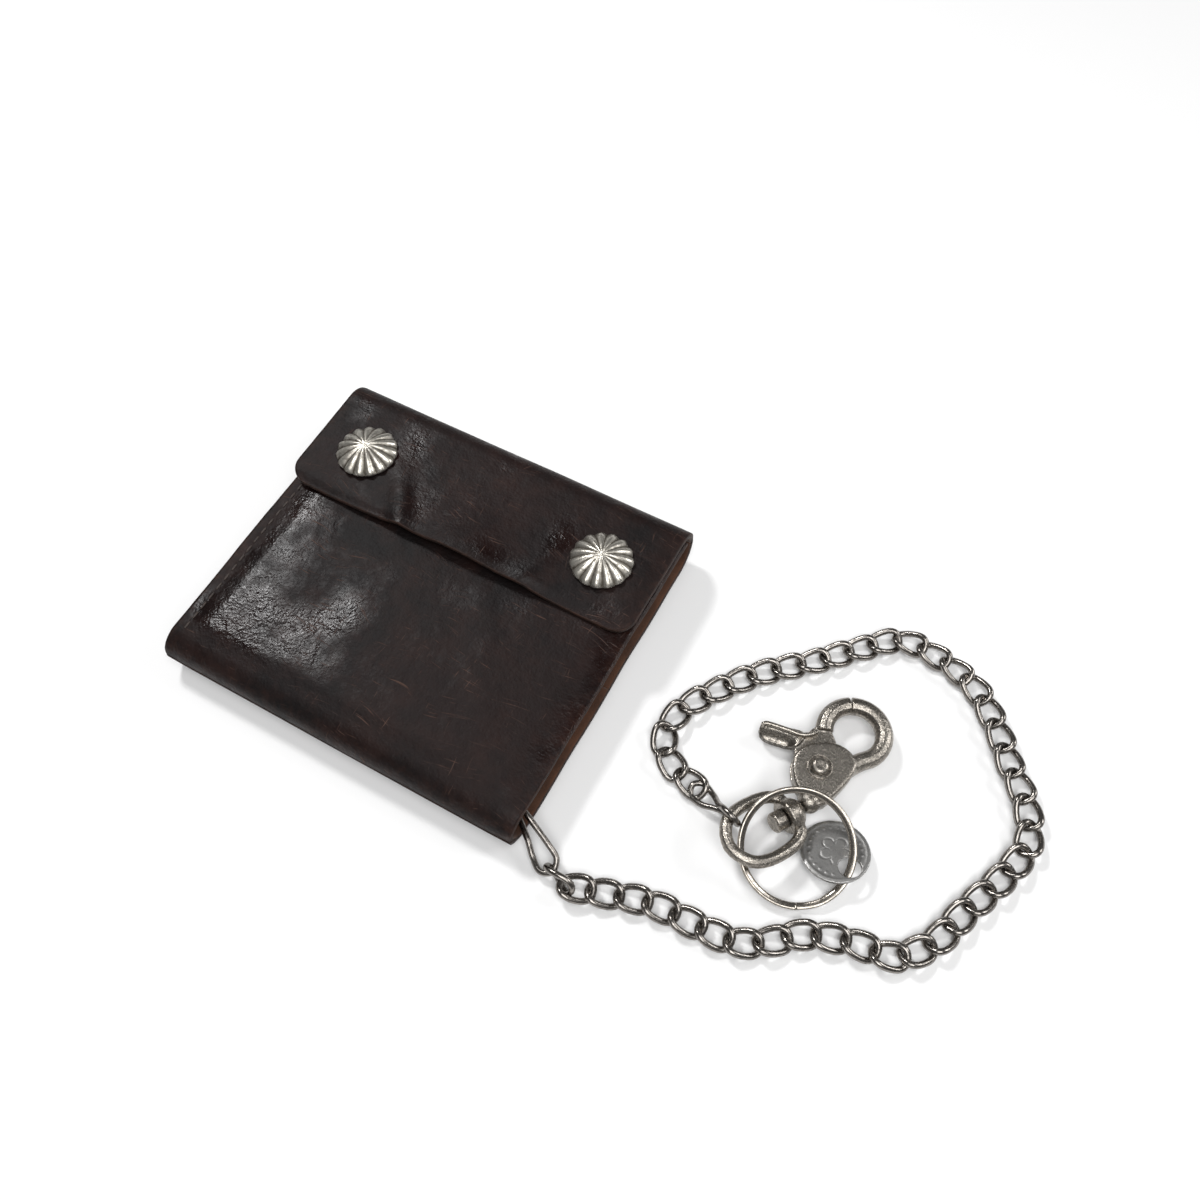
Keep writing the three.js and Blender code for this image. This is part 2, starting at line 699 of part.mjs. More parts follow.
function keyRingGroup() {
  const group = new THREE.Group();
  const rise = (keyRingOuter - keyRingWall / 2) * Math.sin(radians(keyRingTilt));
  const foot = (keyRingHeight / 2) * Math.cos(radians(keyRingTilt));
  group.position.set(110.1, -15.9, rise + foot + 0.35);
  group.rotation.set(0, -radians(keyRingTilt), radians(keyRingRise), "ZYX");
  return group;
}

function addKeyRing(group) {
  const inner = keyRingOuter - keyRingWall;
  const half = keyRingHeight / 2;
  const edge = 0.35;
  const ring = turned(
    [
      [inner, -half + edge], [inner + edge, -half], [keyRingOuter - edge, -half],
      [keyRingOuter, -half + edge], [keyRingOuter, half - edge], [keyRingOuter - edge, half],
      [inner + edge, half], [inner, half - edge],
    ],
    40,
  );
  group.add(named("key_ring", ring, nickel));
}

function addTag(group) {
  const half = tagThickness / 2;
  const disc = rod(0, 0, -half, half, tagRadius, 36);
  const hole = rod(0, -tagHoleOffset, -half - 1, half + 1, tagHole, 20);
  const tag = shaped([disc], [hole]);
  tag.rotateZ(radians(25)).rotateX(-radians(tagTilt)).rotateZ(radians(36)).translate(118.4, -11.5, 2.5);
  group.add(named("tag", tag, nickel));
}

// ---- Assembly -----------------------------------------------------------------------------------

const wallet = new THREE.Group();
wallet.add(named("back_cover", backCover(), hide));
wallet.add(named("bottom_fold", foldMiddle(bottomFold, 180), hide));
wallet.add(named("front_cover", frontCover(), hide));
wallet.add(named("top_fold", foldMiddle(topFold, 0), hide));
wallet.add(named("flap", flap(), hide));
addLinings(wallet);
addSnap(wallet, "left", -conchoSpread);
addSnap(wallet, "right", conchoSpread);
addGrommet(wallet);

const chain = new THREE.Group();
chain.position.set(grommetAt[0] - chainAnchor[0], grommetAt[1] - chainAnchor[1], 0);
addWalletConnector(chain);
addChain(chain);
addClaspConnector(chain);
const eye = eyeGroup();
addEye(eye);
addSwivelStud(eye);
const hook = hookGroup();
addHook(hook);
addLever(hook);
addRivet(hook);
addSpring(hook);
const keyRing = keyRingGroup();
addKeyRing(keyRing);
chain.add(eye, hook, keyRing);
addTag(chain);

const chainWallet = new THREE.Group();
chainWallet.add(wallet, chain);

export default chainWallet;
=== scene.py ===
# %% [markdown]
# # Chain wallet
# A folded leather wallet lies closed on a table. Two fluted conchos hold its flap, and a curb chain runs
# from its corner to a swivel trigger hook. The frame comes first: it holds every hard part at its true size
# and place, and each piece made here stands for some of those parts or takes one over with a better finish.

# %% Load the frame
import math

import bmesh
import bpy
import numpy as np
from mathutils import Matrix, Vector, noise


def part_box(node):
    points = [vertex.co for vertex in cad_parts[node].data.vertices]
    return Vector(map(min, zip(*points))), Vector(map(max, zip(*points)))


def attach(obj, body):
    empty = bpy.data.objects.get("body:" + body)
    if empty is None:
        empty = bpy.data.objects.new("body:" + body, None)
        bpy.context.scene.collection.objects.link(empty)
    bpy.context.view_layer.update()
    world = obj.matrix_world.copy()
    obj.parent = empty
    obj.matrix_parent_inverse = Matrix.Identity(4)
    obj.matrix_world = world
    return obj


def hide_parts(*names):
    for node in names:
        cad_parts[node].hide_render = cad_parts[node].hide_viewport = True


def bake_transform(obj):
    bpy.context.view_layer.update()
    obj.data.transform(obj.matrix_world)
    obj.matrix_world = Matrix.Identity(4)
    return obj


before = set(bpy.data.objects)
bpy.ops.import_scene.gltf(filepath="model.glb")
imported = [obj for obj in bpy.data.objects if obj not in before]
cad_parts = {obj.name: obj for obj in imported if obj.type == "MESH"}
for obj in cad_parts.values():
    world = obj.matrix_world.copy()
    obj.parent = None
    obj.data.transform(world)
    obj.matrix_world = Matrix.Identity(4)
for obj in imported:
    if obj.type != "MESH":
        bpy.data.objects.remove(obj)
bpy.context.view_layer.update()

MM = 0.001


def placed(name, data):
    """A new object in the scene."""
    made = bpy.data.objects.new(name, data)
    bpy.context.collection.objects.link(made)
    return made


# %% [markdown]
# ## Camera and light
# The camera looks down on the wallet from its chain side. A small lamp stands behind and to the left, like a
# window, where its mirror image falls on the front cover: leather that is dark shows its grain only in such a
# sheen. A broad lamp overhead lights the rest, and a weak one fills the metal from the right. The floor is
# nearly white, and the sky is dim, so that the metal has something dark to mirror.

# %% Camera
forward = Vector((-0.2383, 0.4322, -0.8697)).normalized()
right = Vector((0.8775, 0.4795, -0.002)).normalized()
up = right.cross(forward).normalized()
camera_x, camera_y, camera_z = 0.1032, -0.0974, 0.2419
camera_data = bpy.data.cameras.new("camera")
camera_data.lens = 31.0
camera_data.sensor_width = 36
camera = placed("camera", camera_data)
camera.matrix_world = Matrix((
    (right.x, up.x, -forward.x, camera_x),
    (right.y, up.y, -forward.y, camera_y),
    (right.z, up.z, -forward.z, camera_z),
    (0, 0, 0, 1),
))
bpy.context.scene.camera = camera
print("camera at", [round(v, 3) for v in camera.location])


# %% Lamps
def soft_lamp(name, place, aim, size, power):
    data = bpy.data.lights.new(name, "AREA")
    data.shape = "RECTANGLE"
    data.size, data.size_y = size
    data.energy = power
    lamp = placed(name, data)
    lamp.location = place
    lamp.rotation_euler = (Vector(aim) - Vector(place)).to_track_quat("-Z", "Y").to_euler()


soft_lamp("window", (-0.47, 0.25, 0.66), (-0.02, 0.0, 0.0), (0.15, 0.11), 3.5)
soft_lamp("overhead", (0.30, -0.35, 1.0), (0.06, 0.0, 0.0), (0.8, 0.8), 9.0)
soft_lamp("fill", (0.75, 0.55, 0.6), (0.1, 0.0, 0.0), (0.5, 0.3), 3.0)
world = bpy.data.worlds.new("studio")
world.use_nodes = True
sky = world.node_tree.nodes["Background"]
sky.inputs["Color"].default_value = (1, 1, 1, 1)
sky.inputs["Strength"].default_value = 0.14
bpy.context.scene.world = world
bpy.context.scene.view_settings.view_transform = "Standard"

# %% [markdown]
# ## Shader helpers
# A finish is a small network of nodes. Written as nodes and links it is hard to read, so one class wraps a
# socket and turns Python's own arithmetic into Math nodes, and another makes any other node in one call.


# %% Shader helpers
class Knob:
    """A socket that can be added, multiplied and so on."""

    def __init__(self, finish, socket):
        self.finish = finish
        self.socket = socket

    def _maths(self, operation, first, second):
        return self.finish.node("ShaderNodeMath", {"operation": operation}, {0: first, 1: second})

    def __add__(self, other):
        return self._maths("ADD", self, other)

    def __radd__(self, other):
        return self._maths("ADD", other, self)

    def __sub__(self, other):
        return self._maths("SUBTRACT", self, other)

    def __rsub__(self, other):
        return self._maths("SUBTRACT", other, self)

    def __mul__(self, other):
        return self._maths("MULTIPLY", self, other)

    def __rmul__(self, other):
        return self._maths("MULTIPLY", other, self)


class Finish:
    """One material and the calls that build its nodes."""

    def __init__(self, name):
        self.material = bpy.data.materials.new(name)
        self.material.use_nodes = True
        self.tree = self.material.node_tree
        self.tree.nodes.clear()
        self.place = self.node("ShaderNodeTexCoord", out="Object")

    def node(self, kind, settings=None, inputs=None, out=0):
        made = self.tree.nodes.new(kind)
        for key, value in (settings or {}).items():
            if key == "stops":
                self._stops(made.color_ramp, value)
            else:
                setattr(made, key, value)
        for key, value in (inputs or {}).items():
            if isinstance(value, Knob):
                self.tree.links.new(value.socket, made.inputs[key])
            else:
                made.inputs[key].default_value = value
        return Knob(self, made.outputs[out])

    def _stops(self, ramp, stops):
        while len(ramp.elements) < len(stops):
            ramp.elements.new(0.5)
        for element, (position, shade) in zip(ramp.elements, stops):
            element.position = position
            element.color = (*shade, 1) if isinstance(shade, tuple) else (shade, shade, shade, 1)

    def clouds(self, scale, detail=4.0, roughness=0.55, place=None):
        spread = {"Vector": place or self.place, "Scale": scale, "Detail": detail, "Roughness": roughness}
        return self.node("ShaderNodeTexNoise", {}, spread)

    def cells(self, scale):
        return self.node("ShaderNodeTexVoronoi", {}, {"Vector": self.place, "Scale": scale})

    def turned_place(self, rotation, scale, place=None):
        turned = {"Vector": place or self.place, "Rotation": rotation, "Scale": scale}
        return self.node("ShaderNodeMapping", {}, turned)

    def wandering_place(self, scale, reach):
        """Coordinates that drift with slow noise, so that what is straight on them wanders."""
        slow = {"Vector": self.place, "Scale": scale, "Detail": 1.0}
        drift = self.node("ShaderNodeTexNoise", {}, slow, out="Color")
        drift = self.node("ShaderNodeVectorMath", {"operation": "SCALE"}, {0: drift, "Scale": reach})
        return self.node("ShaderNodeVectorMath", {"operation": "ADD"}, {0: self.place, 1: drift})

    def ramp(self, factor, stops):
        return self.node("ShaderNodeValToRGB", {"stops": stops}, {"Fac": factor})

    def clamp(self, value):
        return self.node("ShaderNodeClamp", {}, {"Value": value})

    def blend(self, factor, low, high):
        """A mix of two colours. The Mix node's colour sockets are its inputs 6 and 7."""
        low, high = (v if isinstance(v, Knob) else (*v, 1) for v in (low, high))
        return self.node("ShaderNodeMix", {"data_type": "RGBA"}, {0: factor, 6: low, 7: high}, out=2)

    def attribute(self, name):
        return self.node("ShaderNodeAttribute", {"attribute_name": name}, out="Fac")

    def relief(self, height, strength, distance, under=None):
        inputs = {"Height": height, "Strength": strength, "Distance": distance}
        if under:
            inputs["Normal"] = under
        return self.node("ShaderNodeBump", {}, inputs, out="Normal")

    def close(self, inputs):
        shader = self.node("ShaderNodeBsdfPrincipled", {}, inputs)
        output = self.tree.nodes.new("ShaderNodeOutputMaterial")
        self.tree.links.new(shader.socket, output.inputs["Surface"])
        return self.material


# %% [markdown]
# ## Leather
# The hide is a thick vegetable-tanned leather that years in a pocket have polished nearly black. Three things
# make it look real: brown that still shows in clouds, hair-thin scratches that expose the lighter leather,
# and a fine pebbled grain that breaks the sheen into glitter. The scratches are noise stretched some twenty
# times along one direction, on coordinates that wander, with a second mask that keeps them rare. Hands and
# pockets burnish some patches more than others, so an attribute on the sheets says where the leather is
# smooth and where it stays dull.


# %% Outer hide
def worn_hide():
    f = Finish("worn_hide")
    darkest, brown, blotch = (0.0026, 0.0013, 0.0014), (0.0084, 0.0028, 0.0023), (0.023, 0.0088, 0.0064)
    scratched, rubbed_edge = (0.100, 0.056, 0.042), (0.060, 0.027, 0.018)
    clouds = f.clouds(38, 5, 0.6)
    blotches = f.clouds(130, 6, 0.65)
    colour = f.ramp(clouds, [(0.36, darkest), (0.64, brown)])
    colour = f.blend(f.ramp(blotches, [(0.45, 0.0), (0.72, 0.45)]), colour, blotch)
    rare = f.ramp(f.clouds(75, 3, 0.6), [(0.43, 0.0), (0.60, 1.0)])
    marks = None
    bent = f.wandering_place(45, 0.012)
    for turn, stretch in (
        (0.45, (110, 2600, 70)), (-0.75, (2300, 140, 60)), (1.35, (90, 1900, 80)), (0.95, (160, 2900, 70)),
    ):
        streak = f.clouds(1.0, 2, 0.5, f.turned_place((0, 0, turn), stretch, bent))
        line = f.ramp(streak, [(0.685, 0.0), (0.735, 1.0)])
        marks = line if marks is None else marks + line
    marks = f.clamp(marks * rare)
    colour = f.blend(marks * 0.6, colour, scratched)
    wear = f.attribute("wear")
    rubbed = f.clamp(wear * f.ramp(f.clouds(420, 4, 0.7), [(0.42, 0.0), (0.66, 1.0)]))
    colour = f.blend(rubbed * 0.4, colour, rubbed_edge)
    grain = f.cells(1300) * 0.6 + f.clouds(2300, 2, 0.5) * 0.4
    creases = f.ramp(f.clouds(300, 4, 0.6), [(0.3, 0.0), (0.52, 0.7), (0.7, 1.0)])
    normal = f.relief(grain, 0.6, 0.00013)
    normal = f.relief(creases, 0.5, 0.00020, normal)
    normal = f.relief(1 - marks, 0.25, 0.00012, normal)
    patches = f.clouds(85, 6, 0.72) - 0.5
    polish = f.ramp(f.attribute("burnish") * 0.8 + patches * 2.2, [(0.1, 0.58), (0.85, 0.23)])
    roughness = polish + marks * 0.12 + f.clouds(1100, 3, 0.6) * 0.1 - 0.05
    return f.close({
        "Base Color": colour, "Roughness": roughness, "Normal": normal, "Specular IOR Level": 0.2,
    })


hide_finish = worn_hide()


# %% Flesh side, cut edge, linings and thread
def flesh_side():
    f = Finish("flesh_side")
    fibres = f.clouds(1500, 6, 0.75)
    tone = f.ramp(f.clouds(90, 5, 0.6), [(0.35, (0.030, 0.012, 0.007)), (0.68, (0.100, 0.040, 0.020))])
    colour = f.blend(fibres * 0.5, tone, (0.16, 0.075, 0.040))
    return f.close({
        "Base Color": colour, "Roughness": 0.85 + fibres * 0.12,
        "Normal": f.relief(fibres, 0.6, 0.0003), "Sheen Weight": 0.25, "Specular IOR Level": 0.3,
    })


def cut_edge():
    f = Finish("cut_edge")
    fibres = f.clouds(1.0, 5, 0.7, f.turned_place((0, 0, 0), (260, 260, 2400)))
    rubbed = f.clouds(300, 4, 0.6)
    tone = fibres * 0.6 + rubbed * 0.4
    colour = f.ramp(tone, [(0.38, (0.008, 0.005, 0.004)), (0.66, (0.050, 0.022, 0.014))])
    return f.close({
        "Base Color": colour, "Roughness": 0.5 + fibres * 0.25,
        "Normal": f.relief(fibres, 0.5, 0.00025), "Specular IOR Level": 0.4,
    })


def lining_leather():
    f = Finish("lining_leather")
    colour = f.ramp(f.clouds(70, 5, 0.6), [(0.35, (0.020, 0.010, 0.007)), (0.7, (0.060, 0.027, 0.017))])
    grain = f.cells(1700) * 0.5 + f.clouds(1900, 4, 0.6) * 0.5
    return f.close({
        "Base Color": colour, "Roughness": 0.52 + f.clouds(300, 3, 0.6) * 0.2,
        "Normal": f.relief(grain, 0.4, 0.00016), "Specular IOR Level": 0.4,
    })


def waxed_thread():
    f = Finish("waxed_thread")
    strands = f.clouds(1.0, 3, 0.6, f.turned_place((0, 0, 0.7), (900, 5200, 5200)))
    colour = f.ramp(strands, [(0.35, (0.012, 0.009, 0.008)), (0.7, (0.070, 0.048, 0.038))])
    return f.close({
        "Base Color": colour, "Roughness": 0.55 + strands * 0.2, "Normal": f.relief(strands, 0.5, 0.0001),
    })


flesh_finish = flesh_side()
edge_finish = cut_edge()
lining_finish = lining_leather()
thread_finish = waxed_thread()

# %% [markdown]
# ## Metals
# The clasp is cast zinc with an antique nickel plate: bright where pockets polish it, dark in each pit and
# hollow. The chain is smoother drawn wire under a gunmetal plate. The conchos are silver with blackened
# flutes. One recipe makes all of them from a bright tone, a dark tone and the size of the pits. Pointiness
# tells a ridge from a hollow, so the plate wears bright on edges and stays dark inside corners.


# %% Antique plate
def antique_plate(name, bright, dark, pits, pit_depth, polish, contrast=1.0, hollow=False):
    f = Finish(name)
    pitting = f.clouds(pits, 5, 0.68)
    patches = f.clouds(pits * 0.16, 4, 0.6)
    speckle = f.ramp(pitting, [(0.36, 0.0), (0.56, 1.0)])
    ridge = f.node("ShaderNodeNewGeometry", out="Pointiness")
    ridge = f.ramp(ridge, [(0.44, 0.0), (0.5, 0.55), (0.57, 1.0)])
    shine = speckle * 0.45 + ridge * 0.45 + f.ramp(patches, [(0.35, 0.0), (0.65, 1.0)]) * 0.2
    if hollow:
        shine = shine * (1 - f.attribute("hollow") * 0.85)
    shine = f.ramp(shine, [(0.5 - 0.45 * contrast, 0.0), (0.5 + 0.4 * contrast, 1.0)])
    colour = f.blend(shine, dark, bright)
    roughness = (1 - shine) * 0.3 + polish
    return f.close({
        "Base Color": colour, "Metallic": 1.0, "Roughness": roughness,
        "Normal": f.relief(pitting, 0.55, pit_depth),
    })


clasp_finish = antique_plate("antique_nickel", (0.42, 0.385, 0.34), (0.030, 0.028, 0.026), 1500, 0.00022, 0.2)
chain_finish = antique_plate("gunmetal_wire", (0.27, 0.25, 0.23), (0.045, 0.041, 0.038), 900, 0.00008, 0.2)
ring_finish = antique_plate("ring_wire", (0.44, 0.40, 0.35), (0.10, 0.092, 0.082), 700, 0.00007, 0.17)
snap_finish = antique_plate("snap_nickel", (0.60, 0.57, 0.53), (0.16, 0.15, 0.14), 900, 0.00005, 0.2)
tag_finish = antique_plate("tag_nickel", (0.46, 0.455, 0.445), (0.17, 0.167, 0.162), 1300, 0.00006, 0.36)
concho_finish = antique_plate(
    "concho_silver", (0.76, 0.725, 0.65), (0.11, 0.097, 0.080), 700, 0.00010, 0.30, 0.8, hollow=True,
)
print("finishes", len(bpy.data.materials))

# %% [markdown]
# ## Mesh helpers
# Most pieces are either a bent wire or a bent sheet. A wire is a section carried along a smooth path, and a
# sheet is a grid of points with a second grid one leather thickness under it and a rounded edge between them.
# Anything round is a stack of rings of points, joined by bands of faces.


# %% Mesh helpers
def piece(name, points, faces, finishes, picks=None):
    """A mesh object from points in millimetres."""
    mesh = bpy.data.meshes.new(name)
    mesh.from_pydata([tuple(c * MM for c in p) for p in points], [], faces)
    for finish in finishes:
        mesh.materials.append(finish)
    if picks is not None:
        mesh.polygons.foreach_set("material_index", picks)
    mesh.shade_smooth()
    mesh.validate()
    return placed(name, mesh)


def band(low, high, count):
    """The faces between two rings of points, given the number of each ring's first point."""
    faces = []
    for k in range(count):
        m = (k + 1) % count
        faces.append((low + k, low + m, high + m, high + k))
    return faces


def paint(made, name, values):
    """Writes one number per point, which a finish reads as an attribute."""
    attribute = made.data.attributes.new(name, "FLOAT", "POINT")
    attribute.data.foreach_set("value", np.array(values, np.float32))


def smooth_path(points, count, closed=False):
    """Evenly spaced points on a centripetal Catmull-Rom curve through the given ones."""
    given = [np.array(p, float) for p in points]
    size = len(given)
    fine = []
    for i in range(size if closed else size - 1):
        if closed:
            a, b, c, d = (given[(i + k) % size] for k in (-1, 0, 1, 2))
        else:
            b, c = given[i], given[i + 1]
            a = given[i - 1] if i else 2 * b - c
            d = given[i + 2] if i + 2 < size else 2 * c - b
        t = [0.0]
        for p, q in ((a, b), (b, c), (c, d)):
            t.append(t[-1] + max(np.linalg.norm(q - p), 1e-6) ** 0.5)
        for u in np.linspace(t[1], t[2], 24, endpoint=False):
            def between(p, q, i, j):
                return (t[j] - u) / (t[j] - t[i]) * p + (u - t[i]) / (t[j] - t[i]) * q

            ab, bc, cd = between(a, b, 0, 1), between(b, c, 1, 2), between(c, d, 2, 3)
            fine.append(between(between(ab, bc, 0, 2), between(bc, cd, 1, 3), 1, 2))
    fine.append(fine[0] if closed else given[-1])
    fine = np.array(fine)
    steps = np.linalg.norm(np.diff(fine, axis=0), axis=1)
    along = np.concatenate([[0], np.cumsum(steps)])
    wanted = np.linspace(0, along[-1], count, endpoint=not closed)
    return np.stack([np.interp(wanted, along, fine[:, k]) for k in range(3)], axis=1)


def wire(name, path, section, finish, closed=True):
    """Carries a section, a list of (across, along the path's own up) points, along a path in millimetres."""
    path = np.array(path, float)
    count = len(path)
    if closed:
        tangents = np.roll(path, -1, 0) - np.roll(path, 1, 0)
    else:
        tangents = np.gradient(path, axis=0)
    tangents /= np.linalg.norm(tangents, axis=1)[:, None]
    start = np.cross((0, 0, 1.0), tangents[0])
    if np.linalg.norm(start) < 1e-3:
        start = np.array((1.0, 0, 0))
    side = start / np.linalg.norm(start)
    sides = []
    for t in tangents:
        side = side - t * side.dot(t)
        side = side / np.linalg.norm(side)
        sides.append(side.copy())
    twist = 0.0
    if closed:
        last = sides[-1] - tangents[0] * sides[-1].dot(tangents[0])
        last /= np.linalg.norm(last)
        twist = math.atan2(np.cross(last, sides[0]).dot(tangents[0]), last.dot(sides[0]))
    points = []
    for i, (p, t, s) in enumerate(zip(path, tangents, sides)):
        up_way = np.cross(t, s)
        turn = twist * i / count
        for across, rise in section:
            a = across * math.cos(turn) - rise * math.sin(turn)
            r = across * math.sin(turn) + rise * math.cos(turn)
            points.append(p + s * a + up_way * r)
    k = len(section)
    faces = []
    for i in range(count if closed else count - 1):
        faces += band(i * k, (i + 1) % count * k, k)
    if not closed:
        faces.append(tuple(range(k - 1, -1, -1)))
        faces.append(tuple((count - 1) * k + m for m in range(k)))
    made = piece(name, points, faces, [finish])
    outward(made)
    return made


def outward(made):
    """Turns every face to look out."""
    build = bmesh.new()
    build.from_mesh(made.data)
    bmesh.ops.recalc_face_normals(build, faces=build.faces)
    build.to_mesh(made.data)
    build.free()


def circle(count, shift=0.0):
    """Evenly spaced angles round a full turn."""
    return [2 * math.pi * (k + shift) / count for k in range(count)]


def round_section(radius, sides):
    return [(radius * math.cos(a), radius * math.sin(a)) for a in circle(sides)]


def evaluated(made):
    """The mesh that an object's modifiers make of it."""
    bpy.context.view_layer.update()
    return bpy.data.meshes.new_from_object(made.evaluated_get(bpy.context.evaluated_depsgraph_get()))


def ease(value, start, stop):
    """Rises smoothly from 0 at start to 1 at stop."""
    t = min(1.0, max(0.0, (value - start) / (stop - start)))
    return t * t * (3 - 2 * t)


def turned_about(points, degrees, x, y):
    """Points drawn round the origin, turned and then moved to a place on the table."""
    c, s = math.cos(math.radians(degrees)), math.sin(math.radians(degrees))
    return [(x + c * px - s * py, y + s * px + c * py, pz) for px, py, pz in points]


# %% [markdown]
# ## Curb chain
# A curb link is an oval of wire twisted by a quarter turn, so that the chain lies flat. Each link holds on to
# the next through its open middle. One link is modelled, and Geometry Nodes place it at each step of a route:
# the tree takes the route as its geometry and the link, the count and the random tilt as named inputs. The
# first link stands on edge between the connector and the route.

# %% Route and link
chain_route = [
    (69.4, -47.9), (76, -45.6), (86, -42.6), (98, -42), (107, -41), (113.5, -37.2), (119, -32.6),
    (129, -28.8), (139, -27), (145.5, -20.5), (150, -9.5), (155, 2), (157.6, 12), (154.5, 21), (148, 29),
    (141.5, 37.5), (133.5, 45), (122, 48.8), (112.5, 48.8), (104.5, 42), (95, 32.5), (84, 22.5),
    (76, 12.5), (70.6, 3), (70.4, -5), (75, -10.2), (81.2, -12.3),
]
link_pitch, link_wire, link_points = 6.5, 1.6, 28
link_long, link_wide = 4.05, 2.8
chain_height, start_height, route_points = 1.85, 1.85 + 0.7, 400
route = [(x, y, chain_height if k else start_height) for k, (x, y) in enumerate(chain_route)]
route = smooth_path(route, route_points)
route_length = float(np.linalg.norm(np.diff(route, axis=0), axis=1).sum())
links = int(route_length / link_pitch) + 1
link_section = round_section(link_wire / 2, 9)
print("chain route", round(route_length, 1), "mm", links, "links")


def one_link():
    path, squareness = [], 0.86
    for a in circle(link_points):
        c, s = math.cos(a), math.sin(a)
        path.append((
            link_long * math.copysign(abs(c) ** squareness, c),
            link_wide * math.copysign(abs(s) ** squareness, s),
            math.sin(2 * a),
        ))
    return wire("one_link", path, link_section, chain_finish)


# %% Chain tree
def chain_tree():
    tree = bpy.data.node_groups.new("pieces_along_a_route", "GeometryNodeTree")
    face = tree.interface
    face.new_socket("Route", in_out="INPUT", socket_type="NodeSocketGeometry")
    for label, kind in (
        ("Link", "NodeSocketObject"), ("Count", "NodeSocketInt"), ("Tilt", "NodeSocketFloat"),
        ("Seed", "NodeSocketInt"), ("Finish", "NodeSocketMaterial"),
    ):
        face.new_socket(label, in_out="INPUT", socket_type=kind)
    face.new_socket("Chain", in_out="OUTPUT", socket_type="NodeSocketGeometry")
    make, join = tree.nodes.new, tree.links.new
    given, result = make("NodeGroupInput"), make("NodeGroupOutput")
    places = make("GeometryNodeCurveToPoints")
    places.mode = "COUNT"
    join(given.outputs["Route"], places.inputs["Curve"])
    join(given.outputs["Count"], places.inputs["Count"])
    along = make("FunctionNodeAlignEulerToVector")
    along.axis, along.pivot_axis = "X", "Z"
    join(places.outputs["Tangent"], along.inputs["Vector"])
    shape = make("GeometryNodeObjectInfo")
    join(given.outputs["Link"], shape.inputs["Object"])
    put = make("GeometryNodeInstanceOnPoints")
    join(places.outputs["Points"], put.inputs["Points"])
    join(shape.outputs["Geometry"], put.inputs["Instance"])
    join(along.outputs["Rotation"], put.inputs["Rotation"])
    chance = make("FunctionNodeRandomValue")
    chance.data_type = "FLOAT"
    join(given.outputs["Seed"], chance.inputs["Seed"])
    down = make("ShaderNodeMath")
    down.operation = "MULTIPLY"
    down.inputs[1].default_value = -1
    join(given.outputs["Tilt"], down.inputs[0])
    floats = [s for s in chance.inputs if s.type == "VALUE" and s.name in ("Min", "Max")]
    join(down.outputs[0], floats[0])
    join(given.outputs["Tilt"], floats[1])
    lean = make("ShaderNodeCombineXYZ")
    value = [s for s in chance.outputs if s.type == "VALUE"][0]
    join(value, lean.inputs["X"])
    tilt = make("GeometryNodeRotateInstances")
    tilt.inputs["Local Space"].default_value = True
    join(put.outputs["Instances"], tilt.inputs["Instances"])
    join(lean.outputs["Vector"], tilt.inputs["Rotation"])
    real = make("GeometryNodeRealizeInstances")
    join(tilt.outputs["Instances"], real.inputs["Geometry"])
    coat = make("GeometryNodeSetMaterial")
    join(real.outputs["Geometry"], coat.inputs["Geometry"])
    join(given.outputs["Finish"], coat.inputs["Material"])
    join(coat.outputs["Geometry"], result.inputs["Chain"])
    return tree


def along_route(name, points, tree, values):
    """Runs a tree on a route, given in millimetres, and returns the plain mesh object."""
    data = bpy.data.curves.new(name + "_route", "CURVE")
    data.dimensions = "3D"
    data.twist_mode = "Z_UP"
    spline = data.splines.new("POLY")
    spline.points.add(len(points) - 1)
    for point, (x, y, z) in zip(spline.points, points):
        point.co = (x * MM, y * MM, z * MM, 1)
    guide = placed(name + "_route", data)
    modifier = guide.modifiers.new(name, "NODES")
    modifier.node_group = tree
    for item in tree.interface.items_tree:
        if item.item_type == "SOCKET" and item.in_out == "INPUT" and item.name in values:
            modifier[item.identifier] = values[item.name]
    mesh = evaluated(guide)
    mesh.name = name
    mesh.shade_smooth()
    bpy.data.objects.remove(guide)
    return placed(name, mesh)


# %% Run the chain
edge_path, edge_height = [], 3.65
for a in circle(link_points):
    edge_path.append((link_long * math.cos(a), 0.7 * math.sin(2 * a), link_wide * math.sin(a) + edge_height))
edge_link = wire("edge_link", turned_about(edge_path, -17, 65.0, -48.1), link_section, chain_finish)
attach(edge_link, "chain")
link = one_link()
chain_links = along_route("chain_links", route, chain_tree(), {
    "Link": link, "Count": links, "Tilt": 0.09, "Seed": 5, "Finish": chain_finish,
})
bpy.data.objects.remove(link)
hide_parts(*[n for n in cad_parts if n.startswith("chain_links_")])
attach(chain_links, "chain")
print("chain faces", len(chain_links.data.polygons))


# %% [markdown]
# ## Wire connectors
# A long wire link leaves the grommet inside the wallet and holds the first chain link. At the other end a
# wire bent into a figure of eight wraps the arm of the swivel eye.

# %% Connectors
wallet_loop = turned_about([
    (0, 0, 4.4), (1.3, 0.3, 6.35), (6, 0.9, 6.35), (10, 1.5, 5.55), (14, 2.1, 4.6), (17.6, 2.3, 3.3),
    (19.6, 0, 2.6), (18, -2.3, 2.0), (14, -2.2, 1.9), (10.5, -1.5, 3.4), (6, -0.9, 3.3), (1.3, -0.3, 2.75),
], -32, 46, -37)
clasp_loop = turned_about([
    (0, 0, 1.7), (1.5, 2.1, 1.6), (5, 1.8, 2.6), (8.3, 0.3, 5.8), (10.6, -0.5, 9.1), (13, -0.6, 9.75),
    (14.65, -0.1, 8.25), (14.75, 0.3, 6.2), (13.3, 0.6, 4.55), (11, 0.6, 4.1), (8.2, -0.2, 3),
    (5, -1.8, 1.7), (1.5, -2.1, 1.3),
], -22, 81.9, -12.4)
